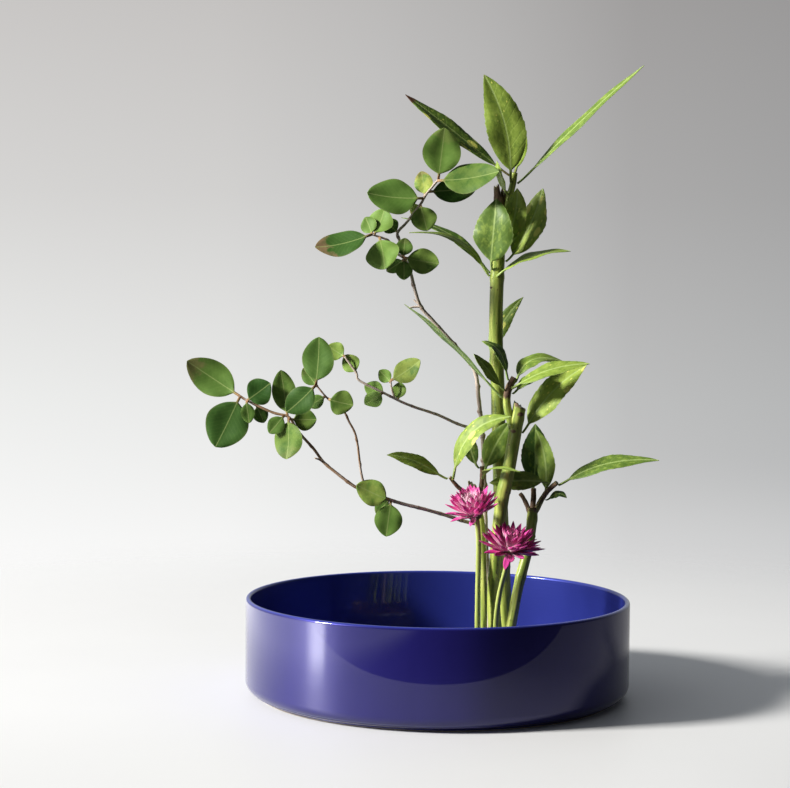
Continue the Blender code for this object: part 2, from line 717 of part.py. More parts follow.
def middle_spray(parent, main, look):
    """Thin side twig that leaves the main twig half way up."""
    radius = 1.1 * MM
    root = main.fork(155, (-15, -7, 159), radius)
    route = Route(
        [root / main.step, (-15, -7, 159), (-24, -10, 162), (-37, -14, 168), (-52, -18, 173), (-62, -20, 177),
         (-74, -22, 183), (-90, -22, 191), (-92, -22, 196), (-100, -22, 207)],
        (radius, 0.7 * MM), main.step,
    )
    side = Route([(-66, -20, 179), (-68, -20, 185), (-69, -19, 191)], (0.7 * MM, 0.6 * MM), main.step)
    leaves = [
        (0, 9, (-12, -3, 7), 11, FRONT),
        (0, 8, (-8, 3, 12), 11, FRONT),
        (0, 5.9, (-14, 5, 5), 10, FRONT),
        (0, 6, (-12, -4, -8), 10, FRONT),
        (1, 1.8, (-8, 3, 8), 8, FRONT),
        (1, 2, (20, -4, 14), 14, (0, -0.9, 0.4)),
        (0, 5.2, (1, 4, 12), 9, FRONT),
    ]
    return spray("middle_spray", route, parent, look, leaves, [side])


def low_spray(parent, main, look):
    """Long low side twig that forks behind its own leaves."""
    radius = 1.3 * MM
    root = main.fork(91, (-17, -9, 95), radius)
    route = Route(
        [root / main.step, (-17, -9, 95), (-31, -16, 100), (-47, -23, 105), (-62, -27, 109), (-76, -29, 114),
         (-85, -30, 118), (-92, -31, 120), (-103, -31, 128), (-113, -30, 136), (-120, -29, 145),
         (-131, -28, 157), (-137, -27, 166), (-148, -26, 169), (-164, -24, 176), (-171, -23, 180)],
        (radius, 0.8 * MM), main.step,
    )
    inner = Route(
        [(-85, -30, 118), (-88, -32, 131), (-91, -35, 153), (-96, -36, 164), (-101, -37, 173),
         (-110, -37, 179), (-118, -37, 188)],
        (0.8 * MM, 0.6 * MM), main.step,
    )
    stub = Route([(-113, -30, 136), (-116, -32, 138), (-119, -33, 139)], (0.7 * MM, 0.5 * MM), main.step)
    leaves = [
        (0, 4.5, (-22, -5, 10), 15, (0, -0.9, 0.4)),
        (0, 4.4, (-3, -5, -24), 16, FRONT),
        (0, 4.45, (-9, 3, -10), 9, FRONT),
        (0, 15, (-36, -6, 23), 20, FRONT),
        (0, 14.9, (-16, -6, -34), 25, FRONT),
        (0, 14.2, (16, -4, 12), 16, FRONT),
        (0, 14.1, (2, -5, -15), 8, FRONT),
        (0, 13.7, (5, 3, -12), 9, FRONT),
        (0, 12.1, (-5, 3, 31), 14, FRONT),
        (1, 6, (-19, -6, -18), 16, (0, -1, 0.4)),
        (1, 6, (2, -4, 30), 18, FRONT),
        (1, 5.9, (-10, 5, 12), 9, FRONT),
        (0, 12.3, (-10, -4, -12), 10, FRONT),
        (0, 12, (-1, -6, -28), 16, FRONT),
        (0, 11.8, (17, 3, 0), 13, FRONT),
        (1, 5.2, (-12, 5, -7), 8, FRONT),
        (1, 5, (17, -4, -4), 15, (0, -1, 0.3)),
    ]
    return spray("low_spray", route, parent, look, leaves, [inner, stub])


def twig_branch(holder):
    """Twig with small round leaves: the main twig and its two long side sprays."""
    empty = stem_empty("twig_axis", holder_seat(-2.5, 1.5), holder)
    main = main_twig_route()
    tall_twig(empty, main, bark("tall_twig_bark"))
    middle_spray(empty, main, bark("middle_spray_bark"))
    low_spray(empty, main, bark("low_spray_bark"))


def crown(name, parent, look, petals, radius, bottom, top, length, width, start_rise, end_rise):
    """One ring of petals: a band round the heart that carries a strip for each petal."""
    bm = bmesh.new()
    made = bmesh.ops.create_circle(bm, segments=2 * petals, radius=radius)
    bmesh.ops.translate(bm, verts=made["verts"], vec=(0, 0, bottom))
    band = bmesh.ops.extrude_edge_only(bm, edges=bm.edges[:])
    upper = [part for part in band["geom"] if isinstance(part, bmesh.types.BMVert)]
    bmesh.ops.translate(bm, verts=upper, vec=(0, 0, top - bottom))
    edges = [part for part in band["geom"] if isinstance(part, bmesh.types.BMEdge)
             and min(vert.co.z for vert in part.verts) > bottom]
    edges.sort(key=lambda edge: math.atan2(edge_middle(edge).y, edge_middle(edge).x))
    root = 2 * radius * math.tan(math.pi / (2 * petals))
    for edge in edges[::2]:
        grow_petal(bm, edge, length, width, root, start_rise, end_rise)
    item = add_object(name, mesh_from(bm, name), parent, look)
    solid_sheet(item, PETAL_THICKNESS)
    smooth(item)
    return item


def edge_middle(edge):
    """Middle of an edge."""
    return (edge.verts[0].co + edge.verts[1].co) / 2


def grow_petal(bm, edge, length, width, root, start_rise, end_rise):
    """Extrude one petal from an edge of the band, in three steps that curl."""
    widths = (0.8, 1.0, 0.45)
    out = edge_middle(edge).copy()
    out.z = 0
    out.normalize()
    across = Vector((-out.y, out.x, 0))
    place = edge_middle(edge)
    for step, share in enumerate(widths):
        rise = math.radians(start_rise + (end_rise - start_rise) * step / (len(widths) - 1))
        place = place + (out * math.cos(rise) + Vector((0, 0, math.sin(rise)))) * (length / len(widths))
        grown = bmesh.ops.extrude_edge_only(bm, edges=[edge])
        edge = next(part for part in grown["geom"] if isinstance(part, bmesh.types.BMEdge)
                    and all(vert in grown["geom"] for vert in part.verts))
        half = max(width * share, root * share) / 2
        middle = edge_middle(edge)
        for vert in edge.verts:
            side = 1 if (vert.co - middle).dot(across) > 0 else -1
            vert.co = place + across * half * side


def flower(number, holder, seat, route, lean, petal_lengths):
    """Chrysanthemum: stem, green cup, heart and three rings of petals."""
    empty = stem_empty(f"flower_{number}_axis", seat, holder)
    route.points.append(route.points[-1] + Vector(lean).normalized() * HEAD_NECK)
    tube(f"flower_{number}_stem", route, 2, empty, green_stem(f"flower_{number}_stem_green"))
    head = axis_empty(f"flower_{number}_head", route.points[-1], empty)
    head.rotation_mode = "QUATERNION"
    head.rotation_quaternion = Vector((0, 0, 1)).rotation_difference(Vector(lean))
    for part, profile in (("cup", cup_profile(route.top_radius)), ("heart", heart_profile())):
        name = f"flower_{number}_{part}"
        turned(name, profile, HEAD_SIDES, head, flower_green(name + "_green"))
    rings = (("outer", 14, 4, 22, 3.2 * MM), ("middle", 11, 34, 46, 2.8 * MM), ("inner", 8, 62, 72, 2.3 * MM))
    bottom = CUP_HEIGHT
    for (radius, top), (label, petals, start, end, width), length in zip(HEART_STEPS, rings, petal_lengths):
        name = f"flower_{number}_petals_{label}"
        band = radius + PETAL_ROOM + PETAL_THICKNESS / 2
        crown(name, head, petal_magenta(name + "_magenta"), petals, band,
              bottom + 2 * GAP + PETAL_THICKNESS, top, length, width, start, end)
        bottom = top


def cup_profile(neck):
    """Outline of the green cup, from its top to the stem."""
    return [
        (0, CUP_HEIGHT),
        (CUP_RADIUS - CUP_EDGE, CUP_HEIGHT),
        (CUP_RADIUS, CUP_HEIGHT - CUP_EDGE),
        (0.75 * CUP_RADIUS, 0.35 * CUP_HEIGHT),
        (neck, GAP),
        (0, GAP),
    ]


def heart_profile():
    """Outline of the stepped heart, from its top to the cup."""
    profile = [(0, HEART_HEIGHT), (0.6 * HEART_STEPS[-1][0], HEART_HEIGHT - HEART_DOME)]
    bottoms = [CUP_HEIGHT + GAP] + [top for radius, top in HEART_STEPS[:-1]]
    for (radius, top), bottom in reversed(list(zip(HEART_STEPS, bottoms))):
        profile += [(radius, top), (radius, bottom)]
    return profile + [(0, CUP_HEIGHT + GAP)]


def flowers(holder):
    """The two chrysanthemums in front of the branches."""
    first = Route(
        [(0, 0, 0), (0, 0, 13), (0, -2, 26), (0, -7, 58), (0, -12, 84), (-1, -15, 97)],
        FLOWER_STEM_RADII, FLOWER_1_HEIGHT / 97,
    )
    second = Route(
        [(0, 0, 0), (0, 0, 13), (-1, -1, 27), (1, -10, 50), (4, -18, 65), (6, -22, 73)],
        FLOWER_STEM_RADII, FLOWER_2_HEIGHT / 73,
    )
    flower(1, holder, holder_seat(-4.5, -3.5), first, (-0.25, -0.35, 0.9), FLOWER_1_PETALS)
    flower(2, holder, holder_seat(-1.5, -4.5), second, (0.1, -0.22, 0.95), FLOWER_2_PETALS)


def main():
    clear_scene()
    stand = axis_empty("stand", (0, 0, 0))
    bowl(stand)
    holder = axis_empty("holder_axis", (HOLDER_X, HOLDER_Y, FLOOR_TOP), stand)
    rubber_ring(holder)
    weight(holder)
    needles(holder)
    tall_branch(holder)
    second_branch(holder)
    right_branch(holder)
    left_branch(holder)
    twig_branch(holder)
    flowers(holder)


main()
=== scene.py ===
# %% [markdown]
# # Cut branches in a low blue bowl
#
# The solids of this arrangement are made already: a glazed bowl, a needle
# holder, four branches of spotted laurel, a thin twig and two chrysanthemums.
# This lesson dresses them. Each piece gets the fine form and the finish that
# the real one has, and stands exactly where its solid stands.

import math
import random

import bmesh
import bpy
from mathutils import Matrix, Vector, noise


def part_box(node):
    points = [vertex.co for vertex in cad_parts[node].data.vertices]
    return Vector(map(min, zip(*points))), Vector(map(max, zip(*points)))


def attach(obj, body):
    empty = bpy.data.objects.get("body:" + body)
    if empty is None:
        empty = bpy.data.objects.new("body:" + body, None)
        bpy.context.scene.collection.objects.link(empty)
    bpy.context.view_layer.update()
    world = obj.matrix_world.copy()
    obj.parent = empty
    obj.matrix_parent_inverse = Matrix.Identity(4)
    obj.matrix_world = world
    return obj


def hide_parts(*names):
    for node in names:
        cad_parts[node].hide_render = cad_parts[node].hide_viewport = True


MM = 0.001
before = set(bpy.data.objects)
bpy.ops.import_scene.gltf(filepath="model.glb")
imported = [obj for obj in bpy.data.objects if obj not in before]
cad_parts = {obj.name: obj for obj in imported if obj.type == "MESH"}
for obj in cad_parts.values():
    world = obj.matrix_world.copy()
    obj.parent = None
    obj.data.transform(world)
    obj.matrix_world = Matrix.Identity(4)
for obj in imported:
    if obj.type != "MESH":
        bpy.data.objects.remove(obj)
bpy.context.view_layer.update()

# %% [markdown]
# ## Camera
#
# A camera is fixed by its place, the way it points and its lens. Here all three
# were worked out from the ovals that the rim and the foot of the bowl draw in
# the picture. The focal length is kept in pixels, because that is how it was
# measured, and turned into the millimetres that Blender asks for.

# %% Camera
PICTURE_WIDTH = 790
FOCAL_PIXELS = 1709.8
SENSOR_MM = 36
CAMERA_PLACE = (0, -1.1594, 0.2394)
CAMERA_TURN = 0.0259
CAMERA_TILT = -0.0319
CAMERA_ROLL = 0.0088
lens = bpy.data.cameras.new("camera")
lens.sensor_width = SENSOR_MM
lens.sensor_fit = "HORIZONTAL"
lens.lens = FOCAL_PIXELS * SENSOR_MM / PICTURE_WIDTH
camera = bpy.data.objects.new("camera", lens)
camera.matrix_world = (
    Matrix.Translation(CAMERA_PLACE)
    @ Matrix.Rotation(CAMERA_TURN, 4, "Z")
    @ Matrix.Rotation(math.pi / 2 + CAMERA_TILT, 4, "X")
    @ Matrix.Rotation(CAMERA_ROLL, 4, "Z")
)
bpy.context.scene.collection.objects.link(camera)
bpy.context.scene.camera = camera
bpy.context.scene.view_settings.view_transform = "Standard"
print("lens:", round(lens.lens, 1), "mm")

# %% [markdown]
# ## Shader nodes written as sums
#
# A material in Blender is a net of nodes. Wiring it by hand takes many lines
# that hide the idea, so one small class stands for a socket and lets Python's
# own signs add the Math nodes: `1 - mask * 0.5` makes two of them. Everything
# that isn't a sum comes from one method, `node`, which sets a node's settings
# first and then its sockets.

# %% A socket that can be added, multiplied and compared
class Wire:
    """An output socket of a node."""

    def __init__(self, finish, socket):
        self.finish = finish
        self.socket = socket

    def maths(self, operation, *values):
        """A Math node with these values."""
        settings = {"operation": operation}
        return self.finish.node("ShaderNodeMath", settings, dict(enumerate(values)))

    def __add__(self, other):
        return self.maths("ADD", self, other)

    def __sub__(self, other):
        return self.maths("SUBTRACT", self, other)

    def __rsub__(self, other):
        return self.maths("SUBTRACT", other, self)

    def __mul__(self, other):
        return self.maths("MULTIPLY", self, other)

    def __truediv__(self, other):
        return self.maths("DIVIDE", self, other)

    def __rtruediv__(self, other):
        return self.maths("DIVIDE", other, self)

    def __mod__(self, other):
        return self.maths("FLOORED_MODULO", self, other)

    def __pow__(self, other):
        return self.maths("POWER", self, other)

    def __lt__(self, other):
        return self.maths("LESS_THAN", self, other)

    def __gt__(self, other):
        return self.maths("GREATER_THAN", self, other)

    def __neg__(self):
        return self * -1

    def __abs__(self):
        return self.maths("ABSOLUTE", self)

    __radd__ = __add__
    __rmul__ = __mul__

    def at_least(self, low):
        """Itself, but never under low, which may be a wire too."""
        return self.maths("MAXIMUM", self, low)

    def ramp(self, low, high):
        """0 up to low, 1 from high, and a smooth rise between them."""
        return self.finish.node(
            "ShaderNodeMapRange",
            {"interpolation_type": "SMOOTHSTEP"},
            {"Value": self, "From Min": low, "From Max": high},
        )

    def part(self, name):
        """One part of a vector: X, Y or Z."""
        return self.finish.node("ShaderNodeSeparateXYZ", {}, {0: self}, name)

    def parts(self):
        """All three parts of a vector."""
        return [self.part(name) for name in "XYZ"]


print("signs that build nodes:", "+ - * / % ** < > abs")

# %% [markdown]
# ## Finishes
#
# A finish is a material with its Principled shader. Values that are the same
# all over a piece are set straight on the shader's sockets. What changes over
# the surface, such as colour, roughness and the small relief of a bump, comes
# from nodes.

# %% The class that makes a material
class Finish:
    """A material, or the world, and the nodes in it."""

    def __init__(self, name, owner=None):
        self.material = owner or bpy.data.materials.new(name)
        self.material.use_nodes = True
        self.tree = self.material.node_tree
        self.shader = self.tree.nodes.get("Principled BSDF")

    def node(self, kind, settings=None, inputs=None, output=0):
        """Add a node: its settings first, then the values or links of its sockets."""
        made = self.tree.nodes.new(kind)
        for name, value in (settings or {}).items():
            if name == "stops":
                self.set_stops(made.color_ramp, value)
            else:
                setattr(made, name, value)
        for name, value in (inputs or {}).items():
            self.feed(made.inputs[name], value)
        return Wire(self, made.outputs[output])

    def feed(self, socket, value):
        """Link a wire to a socket, or set a plain value on it."""
        if isinstance(value, Wire):
            self.tree.links.new(value.socket, socket)
        elif socket.type == "RGBA" and len(value) == 3:
            socket.default_value = (*value, 1)
        else:
            socket.default_value = value

    def set_stops(self, ramp, stops):
        """Give a colour ramp its stops: place and colour."""
        while len(ramp.elements) < len(stops):
            ramp.elements.new(1)
        for element, (place, colour) in zip(ramp.elements, stops):
            element.position = place
            element.color = (*colour, 1)

    def set(self, **values):
        """Feed the shader: base_color stands for Base Color, and so on."""
        for name, value in values.items():
            socket = name.replace("_", " ").title().replace("Ior", "IOR")
            self.feed(self.shader.inputs[socket], value)

    def blend(self, share, first, second):
        """A colour between two, through a Mix node."""
        inputs = {0: share, 6: first, 7: second}
        return self.node("ShaderNodeMix", {"data_type": "RGBA"}, inputs, 2)

    def stored(self, name):
        """Three numbers that a mesh keeps at each of its points, as a vector."""
        return self.node("ShaderNodeAttribute", {"attribute_name": name}, output="Vector")

    def place(self):
        """The place of a point on the piece, in metres."""
        return self.node("ShaderNodeTexCoord", output="Object")

    def joined(self, x, y, z):
        """A vector made of three parts."""
        return self.node("ShaderNodeCombineXYZ", {}, {0: x, 1: y, 2: z})

    def stretched(self, vector, scale):
        """A vector multiplied part by part."""
        return self.node("ShaderNodeVectorMath", {"operation": "MULTIPLY"}, {0: vector, 1: scale})

    def length(self, vector):
        """How long a vector is."""
        return self.node("ShaderNodeVectorMath", {"operation": "LENGTH"}, {0: vector}, "Value")

    def cloud(self, vector, scale, detail):
        """Soft noise between 0 and 1."""
        inputs = {"Vector": vector, "Scale": scale, "Detail": detail}
        return self.node("ShaderNodeTexNoise", {}, inputs)

    def relief(self, height, strength, distance):
        """Tilt the surface as if it had this height."""
        inputs = {"Height": height, "Strength": strength, "Distance": distance}
        self.set(normal=self.node("ShaderNodeBump", {}, inputs))


print("a finish starts as one Principled shader")

# %% [markdown]
# ## The room
#
# The bowl stands on a pale table near a window on its left. The table is one
# large plane. Its far part fades into the background, so that no edge shows,
# and only its near part carries shadows. What the glaze mirrors matters as much
# as the light: the table ends a hand's width in front of the picture, and
# beyond it the room is dark, which draws the dark half oval on the front of the
# bowl. The eye sees the pale table there, and only the reflections are dark.

# %% The table
TABLE_REACH = 3.0
TABLE_EDGE = -0.283
TABLE_FADE = (0.34, 0.95)
table_bm = bmesh.new()
bmesh.ops.create_grid(table_bm, x_segments=24, y_segments=24, size=TABLE_REACH)
table_mesh = bpy.data.meshes.new("table_top")
table_bm.to_mesh(table_mesh)
table_bm.free()
table = bpy.data.objects.new("table_top", table_mesh)
bpy.context.scene.collection.objects.link(table)
print("table edge in the reflections:", TABLE_EDGE, "m")

# %% [markdown]
# A plane that simply stopped would show its rim against the background, so a
# Mix Shader turns it clear with the distance from the bowl. A Light Path node
# tells rays from the camera from the rest: reflections still find a table, and
# the dark room beyond its front edge. Some colours of the table are painted
# light. The camera sees it a little darker towards the front and the sides:
# painted shade. Reflections find it darker to the right, and light that bounces
# off it finds it dark grey, which keeps the shaded sides of the pieces dark:
# painted shade too. Reflections alone find a strip and a glow at the left that
# shine though they are no lamp: a painted highlight, which draws the white band
# on the glaze.

# %% Finish of the table
STRIP_LEFT, STRIP_FRONT = -0.032, -0.091
STRIP_GLOW = 7
LEFT_GLOW = 0.7


def painted_highlight_strip(finish, x, y):
    """Painted highlight: a strip and a glow at the left that shine only in reflections, though
    they are no lamp; they draw the white band on the glaze.
    """
    left = STRIP_LEFT - x
    slope = (STRIP_FRONT - y) / left.at_least(0.01)
    strip = slope.ramp(0.12, 0.3) * (1 - slope.ramp(0.36, 0.46)) * left.ramp(0.1, 0.35)
    glow = strip * STRIP_GLOW + left.ramp(0.12, 0.4) * LEFT_GLOW
    return finish.joined(glow, glow, glow)


def table_finish():
    """Smooth pale table top that fades out far from the bowl, with painted shade, and a painted
    highlight that only reflections see.
    """
    finish = Finish("pale_table")
    place = finish.place()
    x, y = place.part("X"), place.part("Y")
    seen = finish.node("ShaderNodeLightPath", output="Is Camera Ray")
    mirrored = finish.node("ShaderNodeLightPath", output="Is Glossy Ray")
    unseen = 1 - seen
    pale = finish.blend(finish.cloud(place, 9, 4), (0.88, 0.885, 0.89), (0.91, 0.915, 0.92))
    # Painted shade: the camera sees the table a little darker towards the front, more so at the
    # sides.
    sides = x.ramp(0.08, 0.3) * 0.9 + (-x).ramp(0.05, 0.3) * 0.4
    front = (-y).ramp(0.05, 0.3) * (sides + 0.25)
    pale = finish.blend(front * seen, pale, (0.78, 0.785, 0.79))
    # Painted shade: reflections find the table darker to the right, and light that bounces off it
    # finds it dark grey, which keeps the shaded sides of the pieces dark.
    pale = finish.blend(x.ramp(-0.12, 0.3) * unseen * 0.8, pale, (0.12, 0.12, 0.125))
    pale = finish.blend(unseen * (1 - mirrored), pale, (0.14, 0.14, 0.14))
    finish.set(
        base_color=finish.blend((y < TABLE_EDGE) * unseen, pale, (0.012, 0.012, 0.014)),
        roughness=0.5,
        # Painted highlight: the table glows with the strip only for reflections.
        emission_color=finish.blend(mirrored, (0, 0, 0), painted_highlight_strip(finish, x, y)),
        emission_strength=1.0,
    )
    finish.relief(finish.cloud(place, 160, 3), 0.05, 0.0004)
    clear = finish.node("ShaderNodeBsdfTransparent")
    solid = Wire(finish, finish.shader.outputs[0])
    fade = finish.length(place).ramp(*TABLE_FADE) * seen
    surface = finish.node("ShaderNodeMixShader", {}, {0: fade, 1: solid, 2: clear})
    finish.feed(finish.tree.nodes["Material Output"].inputs["Surface"], surface)
    return finish.material


table_mesh.materials.append(table_finish())
print("the table fades from", TABLE_FADE[0], "to", TABLE_FADE[1], "m")

# %% [markdown]
# ## The background and the light
#
# The wall behind is a soft grey that gets paler towards the table and darker to
# the right, away from the window. It needs no mesh: the world gives a colour
# for each direction. For light that falls on the pieces the same world is a
# dim grey, a little brighter at the left and back, so that the sides that face
# away from the window keep their depth.

# %% World
WALL_STOPS = [
    (0.0, (0.97, 0.97, 0.965)), (0.16, (0.96, 0.96, 0.955)), (0.37, (0.84, 0.845, 0.835)),
    (0.63, (0.67, 0.662, 0.652)), (0.87, (0.58, 0.565, 0.555)), (1.0, (0.535, 0.52, 0.51)),
]
WALL_SHADE = [
    (0.0, (1, 1, 1)), (0.25, (0.96, 0.96, 0.96)), (0.42, (0.87, 0.875, 0.88)),
    (0.55, (0.78, 0.785, 0.79)), (0.72, (0.61, 0.61, 0.617)), (0.95, (0.545, 0.55, 0.56)),
]
WALL_LOW, WALL_SPAN = -0.2, 0.45
SHADE_LEFT, SHADE_SPAN = -0.25, 0.5
world = bpy.data.worlds.new("room")
bpy.context.scene.world = world


def room_colour():
    """Build the background colours in the world's nodes."""
    room = Finish("room", world)
    right, back, height = room.node("ShaderNodeTexCoord", output="Generated").parts()
    up = (height - WALL_LOW) / WALL_SPAN
    wall = room.node("ShaderNodeValToRGB", {"stops": WALL_STOPS}, {0: up})
    across = (right - SHADE_LEFT) / SHADE_SPAN
    shade = room.node("ShaderNodeValToRGB", {"stops": WALL_SHADE}, {0: across})
    depth = 1 - (-height).ramp(0.06, 0.125) * 0.22
    multiply = {"data_type": "RGBA", "blend_type": "MULTIPLY"}
    seen_colour = room.node("ShaderNodeMix", multiply, {0: depth, 6: wall, 7: shade}, 2)
    dim = 0.05 + (-right).at_least(0) ** 2 * 0.95 + back.at_least(0) ** 2 * 0.7
    dim = dim * (0.55 + height.at_least(0) * 0.45)
    light = room.node("ShaderNodeCombineColor", {}, {0: dim * 0.95, 1: dim, 2: dim * 1.06})
    seen = room.node("ShaderNodeLightPath", output="Is Camera Ray")
    room.feed(room.tree.nodes["Background"].inputs["Color"], room.blend(seen, light, seen_colour))


room_colour()
print("world nodes:", len(world.node_tree.nodes))

# %% [markdown]
# The window is an area lamp. Its height comes from the shadow of the bowl: a
# rim 65 mm high throws it 130 mm to the right, so the light falls at 26
# degrees, and the shadow slants to the back, so the window is a little in front.
# Its size comes from how soft the edge of that shadow is.

# %% Window light
WINDOW_HEIGHT = math.radians(26)
WINDOW_SIDE = math.radians(73)
WINDOW_DISTANCE = 5.2
WINDOW_AIM = Vector((0, 0, 0.12))
window_light = bpy.data.lights.new("window", "AREA")
window_light.shape = "SQUARE"
window_light.size = 0.87
window_light.energy = 520
window_light.color = (1.0, 0.975, 0.93)
window = bpy.data.objects.new("window", window_light)
window_way = Vector((
    -math.cos(WINDOW_HEIGHT) * math.sin(WINDOW_SIDE),
    -math.cos(WINDOW_HEIGHT) * math.cos(WINDOW_SIDE),
    math.sin(WINDOW_HEIGHT),
)).normalized()
window.location = WINDOW_AIM + window_way * WINDOW_DISTANCE
window.rotation_euler = window_way.to_track_quat("Z", "Y").to_euler()
bpy.context.scene.collection.objects.link(window)
print("window at", WINDOW_DISTANCE, "m")

# %% [markdown]
# ## Bowl
#
# The bowl is turned stoneware with a thick cobalt glaze. Its outline is the one
# that the solid has, but cut much finer, so that the rim is a clean curve even
# close up. A Screw modifier turns the outline about the Z axis. The glaze is a
# clear, sharp coat over a duller, slightly metallic blue: that gives crisp
# reflections and a broad soft glow at once, as real glaze does. Its blue is
# painted brighter inside than outside, which stands for the inner wall that the
# window lights against the outer front in shade. The lip is painted a paler blue
# for the light line along the rim, where the glaze is also thin: a painted
# highlight. The foot ring is wiped clean before firing and stays bare.

# %% Outline of the bowl
BOWL_RADIUS = 130 * MM
BOWL_HEIGHT = 65 * MM
WALL = 3.6 * MM
FLOOR_TOP = 7 * MM
FLOOR_ROUND = 6 * MM
FOOT_HEIGHT = 2.5 * MM
HEEL_LOW = FOOT_HEIGHT - 0.6 * MM
HEEL_ROUND = 8 * MM
GROOVE_DEPTH = 0.45 * MM
GROOVE_TURN = -50
FOOT_INSET = 8.5 * MM
FOOT_WIDTH = 5.5 * MM
FOOT_ROUND = 0.6 * MM
HALF_HEIGHT = 30 * MM
HALF_FLOOR = 60 * MM


def on_circle(centre, radius, turn):
    """Point at an angle, in degrees, on a circle."""
    turn = math.radians(turn)
    return centre[0] + radius * math.cos(turn), centre[1] + radius * math.sin(turn)


def arc(centre, radius, start, end, steps):
    """Points of an arc, from one angle to another."""
    turns = [start + (end - start) * step / steps for step in range(steps + 1)]
    return [on_circle(centre, radius, turn) for turn in turns]


def heel(centre):
    """Rounded heel with a fine groove, which stops just before the next arc begins."""
    points = []
    for turn in range(0, -89, -2):
        groove = GROOVE_DEPTH * math.exp(-((turn - GROOVE_TURN) / 3.5) ** 2)
        points.append(on_circle(centre, HEEL_ROUND - groove, turn))
    return points


def bowl_outline():
    """Outline of the bowl from the middle of its floor over the lip to the foot."""
    inner = BOWL_RADIUS - WALL
    foot = BOWL_RADIUS - FOOT_INSET
    notch = FOOT_INSET - HEEL_ROUND
    points = [(0, FLOOR_TOP), (HALF_FLOOR, FLOOR_TOP)]
    points += arc((inner - FLOOR_ROUND, FLOOR_TOP + FLOOR_ROUND), FLOOR_ROUND, -90, 0, 10)
    points += [(inner, HALF_HEIGHT)]
    points += arc((inner + WALL / 2, BOWL_HEIGHT - WALL / 2), WALL / 2, 180, 0, 14)
    points += [(BOWL_RADIUS, HALF_HEIGHT)]
    points += heel((BOWL_RADIUS - HEEL_ROUND, HEEL_LOW + HEEL_ROUND))
    points += arc((foot + notch, HEEL_LOW - notch), notch, 90, 180, 4)
    points += arc((foot - FOOT_ROUND, FOOT_ROUND), FOOT_ROUND, 0, -90, 5)
    foot -= FOOT_WIDTH
    points += arc((foot + FOOT_ROUND, FOOT_ROUND), FOOT_ROUND, -90, -180, 5)
    return points + [(foot, FOOT_HEIGHT), (HALF_FLOOR, FOOT_HEIGHT), (0, FOOT_HEIGHT)]


print("points in the outline:", len(bowl_outline()))

# %% Turn the bowl
def new_piece(name, mesh, body, node):
    """Put a mesh in the scene as a piece that rides on a body and stands for a node."""
    piece = bpy.data.objects.new(name, mesh)
    bpy.context.scene.collection.objects.link(piece)
    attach(piece, body)
    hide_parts(node)
    return piece


def turned(name, outline, steps, body, node):
    """Turn an outline about the Z axis."""
    mesh = bpy.data.meshes.new(name)
    edges = [(i, i + 1) for i in range(len(outline) - 1)]
    mesh.from_pydata([(radius, 0, height) for radius, height in outline], edges, [])
    piece = new_piece(name, mesh, body, node)
    screw = piece.modifiers.new("turn", "SCREW")
    screw.steps = screw.render_steps = steps
    screw.use_merge_vertices = True
    screw.merge_threshold = 0.01 * MM
    screw.use_smooth_shade = True
    return piece


bowl = turned("glazed_bowl", bowl_outline(), 180, "bowl", "bowl")
print("bowl turned in 180 steps")

# %% Glaze
def cobalt_glaze():
    """Glossy cobalt blue glaze with a bare foot ring, painted brighter inside and paler on the
    lip.
    """
    finish = Finish("cobalt_glaze")
    place = finish.place()
    height = place.part("Z")
    flow = finish.cloud(finish.stretched(place, (14, 14, 4)), 1, 4)
    blue = finish.blend(flow.ramp(0.3, 0.75), (0.014, 0.011, 0.15), (0.021, 0.017, 0.2))
    reach = finish.length(finish.stretched(place, (1, 1, 0)))
    within = (reach < BOWL_RADIUS - WALL / 2) * (height > FOOT_HEIGHT + 2 * MM)
    # Painted light: the glaze inside is a brighter blue, for the inner wall that the window
    # lights, against the darker outside, for the front in shade.
    blue = finish.blend(within, blue, (0.026, 0.038, 0.26))
    # Painted highlight: the lip is a paler blue, for the light line along the rim, where the
    # glaze is also thin.
    lip = height.ramp(BOWL_HEIGHT - 1.3 * MM, BOWL_HEIGHT - 0.1 * MM)
    thin = finish.blend(lip * 0.6, blue, (0.05, 0.08, 0.6))
    specks = finish.cloud(place, 900, 2).ramp(0.7, 0.76)
    speckled = finish.blend(specks * 0.25, thin, (0.01, 0.008, 0.05))
    bare = 1 - height.ramp(0.5 * MM, 0.9 * MM)
    clay = finish.blend(finish.cloud(place, 300, 4), (0.42, 0.36, 0.29), (0.58, 0.52, 0.44))
    finish.set(
        base_color=finish.blend(bare, speckled, clay),
        roughness=0.3 + flow * 0.06 + bare * 0.3,
        coat_weight=(1 - bare) * (1 - within * 0.45),
        coat_roughness=0.03,
        coat_ior=1.5,
        specular_ior_level=0.2,
        metallic=0.3,
    )
    rings = finish.node(
        "ShaderNodeTexWave",
        {"wave_type": "BANDS", "bands_direction": "Z"},
        {"Vector": place, "Scale": 110, "Distortion": 1.2, "Detail": 2},
        1,
    )
    peel = finish.cloud(place, 45, 2)
    finish.relief(rings * 0.12 + peel * 0.6, 0.05, 0.002)
    return finish.material


bowl.data.materials.append(cobalt_glaze())
print("glaze ready")

# %% [markdown]
# ## Needle holder
#
# The heavy holder under the stems is a lead alloy weight in a rubber ring, with
# a bed of brass needles. The solids have the right shape already, down to each
# needle, so they only get finishes: brass that is brown between the needles
# and bright on their tips, lead with a grey bloom, and dusty rubber.

# %% Finishes of the holder
HOLDER = Vector((47 * MM, 7 * MM, 0))


